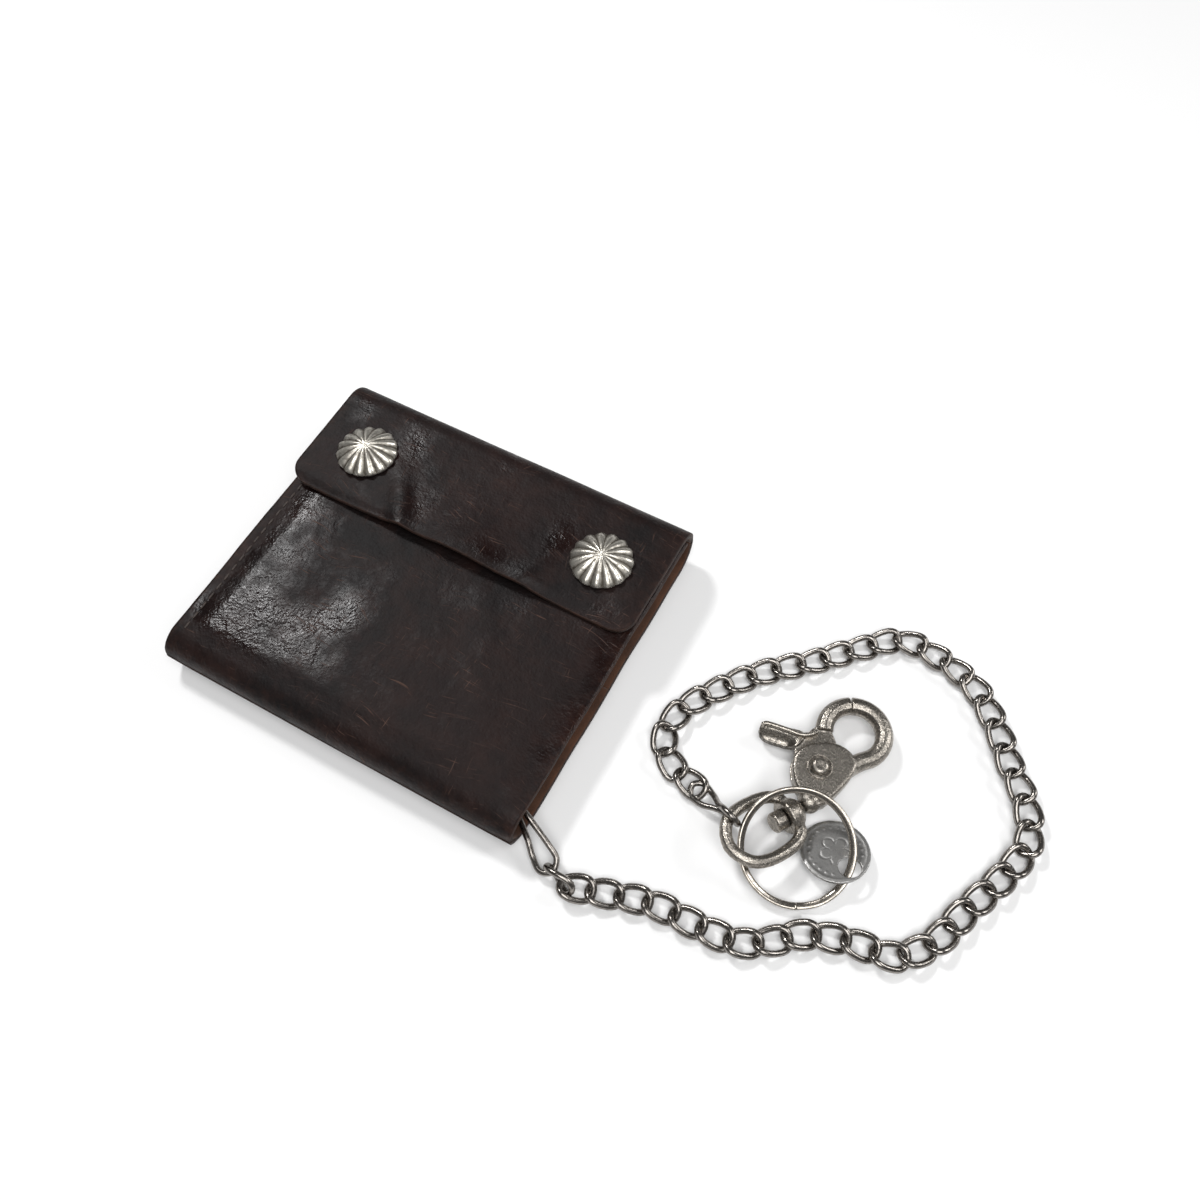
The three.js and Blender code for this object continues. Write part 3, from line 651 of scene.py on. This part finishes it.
connector_section = round_section(0.75, 12)
connectors = []
for name, loop in (("wallet_connector", wallet_loop), ("clasp_connector", clasp_loop)):
    made = wire(name + "_wire", smooth_path(loop, 110, True), connector_section, chain_finish)
    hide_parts(name)
    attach(made, "chain")
    connectors.append(made)

# %% [markdown]
# ## Clasp
# The hook, its lever, the swivel eye and its stud are castings: every edge is soft. A copy of each solid is
# rebuilt from small voxels and smoothed, which rounds the edges and melts one form into the next, much as
# metal does in a mould.


# %% Castings
def cad_object(node):
    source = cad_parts[node]
    return source if hasattr(source, "data") else bpy.data.objects[source]


def casting(name, node, body, voxel, rounds, finish=clasp_finish):
    """A soft copy of a solid, from voxels of the given size in millimetres and some rounds of smoothing."""
    mesh = cad_object(node).data.copy()
    mesh.name = name
    build = bmesh.new()
    build.from_mesh(mesh)
    bmesh.ops.remove_doubles(build, verts=build.verts, dist=1e-6)
    build.to_mesh(mesh)
    build.free()
    made = placed(name, mesh)
    rebuild = made.modifiers.new("voxels", "REMESH")
    rebuild.mode = "VOXEL"
    rebuild.voxel_size = voxel * MM
    rebuild.use_smooth_shade = True
    soften = made.modifiers.new("soften", "SMOOTH")
    soften.factor = 0.5
    soften.iterations = rounds
    made.data = evaluated(made)
    made.modifiers.clear()
    bpy.data.meshes.remove(mesh)
    made.data.materials.clear()
    made.data.materials.append(finish)
    made.data.shade_smooth()
    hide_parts(node)
    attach(made, body)
    print(name, len(made.data.polygons), "faces")
    return made


hook_cast = casting("hook_casting", "hook_body", "hook", 0.25, 6)
lever_cast = casting("lever_casting", "trigger_lever", "lever", 0.22, 5)
eye_cast = casting("eye_casting", "swivel_eye", "chain", 0.25, 6)
stud_cast = casting("stud_casting", "swivel_stud", "hook", 0.16, 3)

# %% [markdown]
# Where the gate meets the nose of the hook, the real seam is a thin line. Smoothing has drawn both ends back,
# so their points are turned about the centre of the hook's hoop until only a thin gap is left.

# %% Gate seam
hook_place = Matrix.Translation((108.2, -4.4, 3.9)) @ Matrix.Rotation(math.radians(-7), 4, "Z")
hook_home = hook_place.inverted()
hoop_x, hoop_y, hoop_inner, hoop_outer = 0.3, 22.2, 4, 11


def turn_ends(made, first, last, by):
    """Turns the points between two angles about the hoop's centre, the more the nearer to the last one."""
    for vertex in made.data.vertices:
        local = hook_home @ (vertex.co / MM)
        x, y = local.x - hoop_x, local.y - hoop_y
        angle, reach = math.degrees(math.atan2(y, x)) % 360, math.hypot(x, y)
        share = (angle - first) / (last - first)
        if not 0 < share < 1.2 or not hoop_inner < reach < hoop_outer:
            continue
        a = math.radians(angle + by * ease(share, 0, 1))
        turned = Vector((hoop_x + reach * math.cos(a), hoop_y + reach * math.sin(a), local.z))
        vertex.co = (hook_place @ turned) * MM


turn_ends(hook_cast, 85, 123, 2.3)
turn_ends(lever_cast, 172, 129, -2.3)
print("gate seam closed to a thin line")

# %% [markdown]
# The lever's thumb end is a standing rib over a sloping face. The casting's flat end is tilted down towards
# the thumb by moving its points, and the rib is a tall narrow section carried along the edge. Both are worked
# out in the clasp's own frame, which is turned a little on the table.

# %% Thumb lever
rib_x, rib_y, rib_slope, thumb_drop = -9.4, 14.3, 0.3, 2.1
for vertex in lever_cast.data.vertices:
    local = hook_home @ (vertex.co / MM)
    from_rib = rib_y + rib_slope * (local.x - rib_x) - local.y
    if local.z > 0:
        local.z -= thumb_drop * ease(-local.x, 9.5, 12.0) * ease(from_rib, 0.6, 3.6)
    vertex.co = (hook_place @ local) * MM
fin_path = [hook_place @ Vector((x, y, 0)) for x, y in (
    (-19.1, 10.3), (-18.6, 11.0), (-17, 11.6), (-13, 12.7), (-10.2, 13.4), (-8.4, 14.6), (-7.2, 16.4),
)]
fin_section = [
    (0.62, -2.3), (0.62, 2.1), (0.48, 2.55), (0.2, 2.75), (-0.2, 2.75), (-0.48, 2.55), (-0.62, 2.1),
    (-0.62, -2.3), (-0.4, -2.6), (0.4, -2.6),
]
lever_fin = wire("lever_fin", smooth_path(fin_path, 40), fin_section, clasp_finish, closed=False)
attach(lever_fin, "lever")

# %% [markdown]
# The lever turns on a rivet whose head is a low button in a groove. Its outline is drawn once, as radius and
# height, mirrored for the other head, and turned round the pin.

# %% Lever rivet
rivet_x, rivet_y, around = -2.2, 8.7, 48
rivet_outline = [
    (0.0, 3.56), (0.5, 3.58), (1.05, 3.72), (1.5, 3.68), (1.95, 3.4), (2.22, 2.95), (2.3, 2.55), (2.48, 2.43),
    (2.66, 2.52), (2.8, 2.86), (2.95, 2.94), (3.1, 2.82), (3.16, 2.45), (1.3, 2.42),
]
rivet_outline += [(r, -z) for r, z in reversed(rivet_outline)]
rivet_points, rivet_faces = [], []
for r, z in rivet_outline[1:-1]:
    for a in circle(around):
        rivet_points.append(hook_place @ Vector((rivet_x + r * math.cos(a), rivet_y + r * math.sin(a), z)))
last_row = len(rivet_outline) - 3
for j in range(last_row):
    rivet_faces += band(j * around, (j + 1) * around, around)
for tip, row in ((0, 0), (-1, last_row)):
    rivet_points.append(hook_place @ Vector((rivet_x, rivet_y, rivet_outline[tip][1])))
    for k in range(around):
        rivet_faces.append((len(rivet_points) - 1, row * around + k, row * around + (k + 1) % around))
rivet_button = piece("rivet_button", rivet_points, rivet_faces, [clasp_finish])
outward(rivet_button)
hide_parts("lever_rivet")
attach(rivet_button, "hook")
print("rivet", len(rivet_faces), "faces")

# %% [markdown]
# ## Split ring and tag
# A key ring is one flat wire wound twice. Near its start the wire steps up by its own height, and the two
# ends stop on either side of that step. The tag is a stamped disc with a raised rim, a ring of dots and a
# plain outline of five petals.

# %% Split ring
ring_tilt, ring_heading, ring_start = math.radians(20), math.radians(125), math.radians(200)
ring_reach, ring_band, wire_height, off_table = 14, 1.7, 0.8, 0.35
ring_mid = ring_reach - ring_band / 2
ring_centre = Vector((
    110.1, -15.9, ring_mid * math.sin(ring_tilt) + wire_height * math.cos(ring_tilt) + off_table,
))
ring_turn = Matrix.Rotation(ring_heading, 4, "Z") @ Matrix.Rotation(-ring_tilt, 4, "Y")
coil, coil_steps, coil_end, step_start, step_length = [], 240, 4 * math.pi - 0.5, 2 * math.pi - 0.45, 0.4
for k in range(coil_steps + 1):
    a = coil_end * k / coil_steps
    height = wire_height * (ease(a - step_start, 0, step_length) - 0.5)
    x, y = ring_mid * math.cos(a + ring_start), ring_mid * math.sin(a + ring_start)
    coil.append(tuple(ring_turn @ Vector((x, y, height)) + ring_centre))
flat_wire = []
for a in circle(12, 0.5):
    c, s = math.cos(a), math.sin(a)
    flat_wire.append((0.83 * math.copysign(abs(c) ** 0.6, c), 0.38 * math.copysign(abs(s) ** 0.7, s)))
split_ring = wire("split_ring", coil, flat_wire, ring_finish, closed=False)
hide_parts("key_ring")
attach(split_ring, "key_ring")

# %% Tag
tag_disc = casting("tag_disc", "tag", "tag", 0.17, 2, tag_finish)
tag_place = Matrix.Translation((118.4, -11.5, 2.5)) @ Matrix.Rotation(math.radians(36), 4, "Z")
tag_place = tag_place @ Matrix.Rotation(math.radians(-14), 4, "X") @ Matrix.Rotation(math.radians(25), 4, "Z")
tag_home = tag_place.inverted()
tag_up = (tag_place.to_3x3() @ Vector((0, 0, 1))).normalized()
rim_reach, dots_reach, dots_step = 7.4, 6.2, math.pi / 12
for vertex in tag_disc.data.vertices:
    local = tag_home @ (vertex.co / MM)
    if local.z < 0.2:
        continue
    reach = math.hypot(local.x, local.y)
    lift = 0.09 * math.exp(-((reach - rim_reach) / 0.35) ** 2)
    a = math.atan2(local.y, local.x)
    from_hole = abs(a + math.pi / 2)
    nearest = round(a / dots_step) * dots_step
    dot = math.hypot(local.x - dots_reach * math.cos(nearest), local.y - dots_reach * math.sin(nearest))
    if from_hole > 0.75:
        lift += 0.12 * math.exp(-((dot / 0.3) ** 2))
    petal = abs(math.cos(2.5 * (a - math.pi / 2))) ** 0.5
    if 0.8 < reach < 4.4 and from_hole > 0.9:
        lift -= 0.1 * math.exp(-((reach - 1.4 - 2.4 * petal) / 0.28) ** 2)
    vertex.co += tag_up * (lift * MM)

tuple(c * MM for c in route[0])
[tuple(c * MM for c in p) for p in route]
(connectors + [
        edge_link, eye_cast, hook_cast, lever_cast, lever_fin, stud_cast, rivet_button, split_ring, tag_disc,
        cad_object("lever_spring"),
    ])


# %% [markdown]
# ## The hide
# One strip of hide makes the back, the bottom fold, the front, the top fold and the flap. It is drawn as four
# sheets that meet in the middle of each fold and across the back, because a sheet can bend over one hinge
# only. Every sheet is a grid: rows follow the strip's section, columns run along the folds. A lift function
# moves each point off the plain section: the card stack pushes a soft rectangle up through the front, the
# stitched side is pinched, and the flap's free edge lifts between its two snaps.

# %% Sections of the strip
half_width, half_depth, body_height, hide, row_pitch = 52.5, 47.5, 13.0, 1.6, 0.75
flap_room, flap_reach, flap_corner = 1.9, 30, 5
flap_top = body_height + flap_room + hide
bottom_y, bottom_r = -half_depth + body_height / 2, body_height / 2
top_y, top_r = half_depth - flap_top / 2, flap_top / 2
flap_edge = top_y - flap_reach
concho_x, concho_y = 36.4, flap_edge + 15.5
front_end = top_y + math.sqrt((top_r - hide) ** 2 - (body_height - top_r) ** 2) - 0.8


def straight(y0, y1, z, side, pitch=row_pitch):
    """Rows of (y, z, normal y, normal z, crest) along a flat stretch."""
    count = max(2, round(abs(y1 - y0) / pitch))
    return [(y0 + (y1 - y0) * k / count, z, 0.0, side, 0.0) for k in range(count + 1)]


def bend(y, r, start, stop):
    """Rows round a fold, between two angles in degrees."""
    rows, steps = [], 16
    for k in range(steps + 1):
        a = math.radians(start + (stop - start) * k / steps)
        crest = abs(math.cos(a)) ** 2
        rows.append((y + r * math.cos(a), r + r * math.sin(a), math.cos(a), math.sin(a), crest))
    return rows


def bell(value, middle, width):
    return math.exp(-(((value - middle) / width) ** 2))


def bumps(x, y, size, seed):
    return noise.noise(Vector((x / size, y / size, seed)))


def left_side(y, seed=0.0):
    return -(50.4 + 1.9 * (y + half_depth) / 95) + 0.3 * bumps(0, y, 22, 3.1 + seed)


def right_side(y, seed):
    return 51.6 + 0.5 * (y + half_depth) / 95 + 0.35 * bumps(9, y, 18, 5.7 + seed)


def corner_inset(near, radius):
    """How far a rounded corner draws a side in, at a distance from the end."""
    return radius - math.sqrt(max(0.0, radius ** 2 - (radius - near) ** 2)) if near < radius else 0.0


# %% Sheets
def sheet(
    name, rows, sides, columns, thickness, lift, finishes,
    round_ends=(True, True), round_by=0.3, burnish=None,
):
    """A closed sheet with a grain side, a flesh side and a rounded edge.

    Its points say how worn the leather is, most at edges and folds, and how much hands have burnished it.
    """
    count = len(rows)
    grain_side, flesh, worn, shiny = [], [], [], []
    for j, (y, z, ny, nz, crest) in enumerate(rows):
        low, high = sides(y, z)
        for i in range(columns + 1):
            t = i / columns
            x = low + (high - low) * t
            rise = lift(x, y, z)
            grain_side.append((x, y + ny * rise, z + nz * rise))
            flesh.append((x, y + ny * (rise - thickness), z + nz * (rise - thickness)))
            reach = min(x - low, high - x)
            for end, from_end in ((round_ends[0], j), (round_ends[1], count - 1 - j)):
                if end:
                    reach = min(reach, from_end * row_pitch)
            worn.append(min(1.0, math.exp(-reach / 1.3) + 0.7 * crest))
            shiny.append(burnish(x, y) * (1 - crest) + 0.35 * crest if burnish else 0.3)
    wide = columns + 1
    ring = [(0, i) for i in range(wide)] + [(j, columns) for j in range(1, count)]
    ring += [(count - 1, i) for i in range(columns - 1, -1, -1)] + [(j, 0) for j in range(count - 2, 0, -1)]
    rim = []
    for j, i in ring:
        a, b = np.array(grain_side[j * wide + i]), np.array(flesh[j * wide + i])
        out = np.zeros(3)
        if i in (0, columns):
            out[0] = -1.0 if i == 0 else 1.0
        if (j == 0 and round_ends[0]) or (j == count - 1 and round_ends[1]):
            step = 1 if j == 0 else -1
            away = np.array(rows[j][:2]) - np.array(rows[j + step][:2])
            out[1:] += away / np.linalg.norm(away)
        size = np.linalg.norm(out)
        rim.append(tuple((a + b) / 2 + (out / size * round_by if size else 0)))
    points = grain_side + flesh + rim
    total, faces, picks = count * wide, [], []
    for j in range(count - 1):
        for i in range(columns):
            a = j * wide + i
            faces.append((a, a + 1, a + wide + 1, a + wide))
            faces.append((total + a + wide, total + a + wide + 1, total + a + 1, total + a))
            picks += [0, 1]
    for k in range(len(ring)):
        m = (k + 1) % len(ring)
        a, b = ring[k][0] * wide + ring[k][1], ring[m][0] * wide + ring[m][1]
        faces.append((a, b, 2 * total + m, 2 * total + k))
        faces.append((2 * total + k, 2 * total + m, total + b, total + a))
        picks += [2, 2]
    made = piece(name, points, faces, finishes, picks)
    outward(made)
    paint(made, "wear", worn + worn + [1.0] * len(rim))
    paint(made, "burnish", shiny + shiny + [0.5] * len(rim))
    print(name, len(faces), "faces")
    return made


# %% How the hide lifts
def front_lift(x, y, z):
    """The cards' plateau, waves and creases, the pinched sides, and two soft folds that cross the front."""
    flat = ease(z, 9.0, 12.6)
    plateau = ease(x, -47.5, -42) * (1 - ease(x, 43, 50)) * ease(y, -42, -36.5)
    rise = 0.75 * plateau + 0.30 * bumps(x, y, 30, 1.3) + 0.10 * bumps(x, y, 9, 4.4)
    rise += 0.05 * (1 - 2 * abs(bumps(x * 1.3 + y * 0.5, y * 0.6, 3.4, 8.2)))
    rise -= 0.55 * (1 - ease(x, left_side(y) + 1.2, left_side(y) + 5.5))
    rise -= 0.75 * ease(x, 45.5, 52.5)
    rise += 0.26 * bell(x + 0.55 * y, 16, 5) * ease(y, -34, -20) * (1 - ease(y, -2, 12))
    rise -= 0.30 * bell(x + 0.35 * y, -27, 6) * ease(y, -34, -22)
    return (rise - 0.35) * (0.25 + 0.75 * flat) - 0.15 * (1 - flat) * (1 + bumps(x, z, 26, 2.2))


def flap_lift(x, y, z):
    """The raised free edge with its ripples, the ends drawn down, and a dent round each concho."""
    free = 1 - ease(y, flap_edge, flap_edge + 24)
    top = ease(z, 13, 16)
    rise = 1.9 * free * free * bell(x, 1.5, 15.0)
    rise += 1.15 * free * bell(x + 0.55 * (y - flap_edge), -16.0, 3.4)
    rise += 0.95 * free * bell(x - 0.30 * (y - flap_edge), 20.5, 4.0)
    rise -= 0.5 * free * free * bell(x, -8.0, 4.0)
    rise -= 1.0 * free ** 3 * (bell(x, -39, 13) + bell(x, 39, 13))
    rise -= 0.6 * (1 - ease(y, flap_edge, flap_edge + 2.6)) * (1 - bell(x, 0, 18))
    rise -= 0.5 * ease(x, 47, 52.5) * top
    for middle in (-concho_x, concho_x):
        rise -= 0.32 * math.exp(-(((x - middle) ** 2 + (y - concho_y) ** 2) / 90))
    rise += 0.24 * bumps(x, y, 24, 6.6) + 0.09 * bumps(x, y, 7, 9.4)
    rise += 0.05 * (1 - 2 * abs(bumps(x * 1.2 - y * 0.4, y * 0.7, 3.2, 3.9)))
    return rise * top - 0.15 * (1 - top) * (1 + bumps(x, z, 24, 7.2))


def back_lift(x, y, z):
    return -0.12 - 0.12 * bumps(x, y, 26, 11.0) - 0.1 * ease(abs(x), 44, 52)


# %% Where hands burnish the hide
def patch(x, y, middle_x, middle_y, wide, deep):
    return math.exp(-(((x - middle_x) / wide) ** 2 + ((y - middle_y) / deep) ** 2))


def front_burnish(x, y):
    shine = ease(x, -50, -45) * (1 - ease(x, -44 - 0.3 * y, -26 - 0.3 * y)) * ease(y, -41, -35)
    shine += patch(x, y, -14, -16, 6, 9) + 0.7 * patch(x, y, -20, -24, 9, 5)
    shine += 0.8 * bell(y, -33, 4.5) * (1 - ease(x, -14, 8))
    shine += 0.8 * ease(x, 43, 49) * ease(y, -40, -20)
    shine += 0.35 * patch(x, y, 14, 2, 14, 7)
    return min(1.0, shine)


def flap_burnish(x, y):
    shine = patch(x, y, -26, 34, 6, 10) + patch(x, y, 24, 25, 5, 8)
    shine += 0.9 * patch(x, y, -15, 18, 6, 9) + 0.8 * patch(x, y, 14, 12, 14, 4)
    shine += 0.6 * patch(x, y, -46, 38, 5, 9) + 0.5 * patch(x, y, 44, 14, 5, 8)
    return min(1.0, shine)


# %% Cut the four sheets
def plain_sides(y, z):
    return left_side(y), right_side(y, 0.0)


def flap_sides(y, z):
    low, high = left_side(y, 2.0) - 0.25, right_side(y, 2.0) + 0.1
    if z > 12:
        inset = corner_inset(y - flap_edge, flap_corner)
        low, high = low + inset, high - inset
    return max(low, -half_width), min(high, half_width)


def hide_sheet(name, rows, sides, columns, lift, last_free, burnish=None):
    """One part of the strip. Its first end meets another part, and last_free says if its last end is free."""
    layers = [hide_finish, flesh_finish, edge_finish]
    return sheet(name, rows, sides, columns, hide, lift, layers, (False, last_free), burnish=burnish)


back_low_rows = straight(0, bottom_y, 0, -1.0) + bend(bottom_y, bottom_r, 270, 180)[1:]
front_rows = bend(bottom_y, bottom_r, 180, 90) + straight(bottom_y, front_end, body_height, 1.0)[1:]
back_high_rows = straight(0, top_y, 0, -1.0) + bend(top_y, top_r, -90, 0)[1:]
flap_rows = bend(top_y, top_r, 0, 90) + straight(top_y, flap_edge + flap_corner, flap_top, 1.0)[1:]
for k in range(1, 13):
    into_corner = flap_corner * (1 - math.sin(math.pi / 2 * k / 12))
    flap_rows.append((flap_edge + into_corner, flap_top, 0.0, 1.0, 0.0))

hide_back_low = hide_sheet("hide_back_lower", back_low_rows, plain_sides, 140, back_lift, False)
hide_front = hide_sheet("hide_front", front_rows, plain_sides, 150, front_lift, True, front_burnish)
hide_back_high = hide_sheet("hide_back_upper", back_high_rows, plain_sides, 140, back_lift, False)
hide_flap = hide_sheet("hide_flap", flap_rows, flap_sides, 150, flap_lift, True, flap_burnish)

low_start, low_end = (0, bottom_y * MM, 0), (0, bottom_y * MM, body_height * MM)
low_middle = (0, (bottom_y - bottom_r) * MM, bottom_r * MM)
high_start, high_end = (0, top_y * MM, 0), (0, top_y * MM, flap_top * MM)
high_middle = (0, (top_y + top_r) * MM, top_r * MM)
for made, nodes, first, second, start, end in (
    (hide_back_low, ("back_cover", "bottom_fold"), "back_half", "lower_fold", low_start, low_middle),
    (hide_front, ("front_cover",), "lower_fold", "front_half", low_middle, low_end),
    (hide_back_high, ("top_fold",), "back_half", "upper_fold", high_start, high_middle),
    (hide_flap, ("flap",), "upper_fold", "flap", high_middle, high_end),
):
    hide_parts(*nodes)
    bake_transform(made)

# %% [markdown]
# ## Linings and card pockets
# Inside, thinner leather makes the note compartments and the stepped card pockets. Each is a sheet of its
# own with rounded corners and a slight wave, so that the stack's edges look like leather from the side.


# %% Inner panels
def inner_panel(node, body, seed):
    low, high = (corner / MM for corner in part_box(node))
    rows = straight(low.y, high.y, high.z, 1.0, 1.1)
    layers = [lining_finish, lining_finish, edge_finish]

    def sides(y, z):
        inset = corner_inset(min(abs(y - low.y), abs(y - high.y)), 3)
        wave = 0.35 * bumps(seed, y, 16, seed)
        return low.x + 0.4 + inset + wave, high.x - 0.4 - inset + wave

    def lift(x, y, z):
        return 0.10 * bumps(x, y, 20, seed) - 0.02

    made = sheet(node + "_leather", rows, sides, 60, 0.66, lift, layers, round_by=0.15)
    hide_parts(node)
    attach(made, body)


seed = 0.7
for side in ("back", "front"):
    for node in (f"bill_lining_{side}", f"{side}_card_pocket_1", f"{side}_card_pocket_2"):
        inner_panel(node, side + "_half", seed)
        seed += 3.3

# %% [markdown]
# ## Stitches
# The seam is a saddle stitch in waxed thread: short plump stitches that lie in a pressed groove. One stitch
# is modelled, and the same tree that laid the chain lays the seams.


# %% Stitch and seams
def one_stitch():
    points, faces, around = [], [], 8
    rings = [(-1.15, 0.05), (-1.0, 0.2), (-0.5, 0.29), (0.5, 0.29), (1.0, 0.2), (1.15, 0.05)]
    for x, r in rings:
        for a in circle(around):
            points.append((x, r * math.cos(a), r * 0.8 * math.sin(a)))
    for i in range(len(rings) - 1):
        faces += band(i * around, (i + 1) * around, around)
    faces.append(tuple(range(around - 1, -1, -1)))
    faces.append(tuple(range(len(points) - around, len(points))))
    made = piece("one_stitch", points, faces, [thread_finish])
    outward(made)
    return made


def seam(name, points, body):
    length = sum((Vector(b) - Vector(a)).length for a, b in zip(points, points[1:]))
    made = along_route(name, points, seam_tree, {
        "Link": stitch, "Count": round(length / stitch_pitch), "Tilt": 0.05, "Seed": 3,
        "Finish": thread_finish,
    })
    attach(made, body)
    print(name, len(made.data.polygons), "faces")


seam_tree = bpy.data.node_groups["pieces_along_a_route"]
stitch, stitch_pitch = one_stitch(), 3.1
side_seam, seam_margin, seam_start, seam_length = [], 3.0, -39.5, 80
for k in range(60):
    y = seam_start + seam_length * k / 59
    x = left_side(y) + seam_margin
    side_seam.append((x, y, body_height + front_lift(x, y, body_height) + 0.10))
seam("front_side_seam", side_seam, "front_half")
for x, side in ((-48.2, "left"), (48.2, "right")):
    for half in ("back", "front"):
        node = half + "_card_pocket_2"
        low, high = (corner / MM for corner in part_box(node))
        z = high.z + 0.05 if half == "back" else low.z - 0.05
        path = [(x, low.y + 3 + (high.y - low.y - 6) * k / 20, z) for k in range(21)]
        seam(f"{node}_{side}_seam", path, half + "_half")
bpy.data.objects.remove(stitch)

# %% [markdown]
# ## Conchos and small metal
# A concho is a stamped dome. Fifteen petals rise between sharp valleys, and the rim follows them in scallops.
# The depth of each valley is kept as an attribute, which the silver finish reads to blacken it.


# %% Conchos
def concho(name, node, x):
    petals, radius, rings, around, metal = 15, 8.4, 26, 15 * 14, 0.6
    seat = flap_top + 0.3
    top, under, dark = [], [], []
    for r in range(1, rings + 1):
        u = r / rings
        for a in circle(around):
            petal = abs(math.cos(petals * a / 2)) ** 0.9
            reach = radius * u * (1 - 0.05 * (1 - petal) * u ** 3)
            rise = 0.35 + 3.2 * (1 - u ** 2.1) + 0.9 * u ** 1.1 * (petal - 0.5)
            rise -= 0.25 * ease(u, 0.93, 1.0)
            across = (x + reach * math.cos(a), concho_y + reach * math.sin(a))
            top.append((*across, seat + max(rise, 0.12)))
            under.append((*across, seat + max(rise - metal, 0.0)))
            dark.append((1 - petal) ** 1.6 * ease(u, 0.05, 0.4))
    crown = [(x, concho_y, seat + 3.6), (x, concho_y, seat + 2.9)]
    size, last_ring = len(top), (rings - 1) * around
    faces = band(last_ring, size + last_ring, around)
    for r in range(0, last_ring, around):
        faces += band(r, r + around, around) + band(size + r, size + r + around, around)
    for k in range(around):
        m = (k + 1) % around
        faces += [(2 * size, m, k), (2 * size + 1, size + k, size + m)]
    made = piece(name, top + under + crown, faces, [concho_finish])
    outward(made)
    paint(made, "hollow", dark + dark + [0.2, 0.2])
    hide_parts(node)
    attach(made, "flap")


concho("concho_cap_left", "concho_left", -concho_x)
concho("concho_cap_right", "concho_right", concho_x)

# %% Finishes for the small parts
for start, finish in (
    ("snap_", snap_finish), ("stud_back", snap_finish), ("chain_grommet", snap_finish),
    ("grommet_washer", snap_finish), ("lever_spring", chain_finish),
):
    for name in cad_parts:
        if name.startswith(start):
            for holder in cad_object(name).material_slots:
                holder.material = finish

# %% Finish
far, drop = 3, 0.0002
floor_mesh = bpy.data.meshes.new("floor")
floor_mesh.from_pydata(
    [(-far, -far, -drop), (far, -far, -drop), (far, far, -drop), (-far, far, -drop)], [], [(0, 1, 2, 3)],
)
floor_paint = Finish("pale_floor")
floor_mesh.materials.append(floor_paint.close({"Base Color": (0.9, 0.9, 0.9, 1), "Roughness": 0.8}))
floor = placed("floor", floor_mesh)
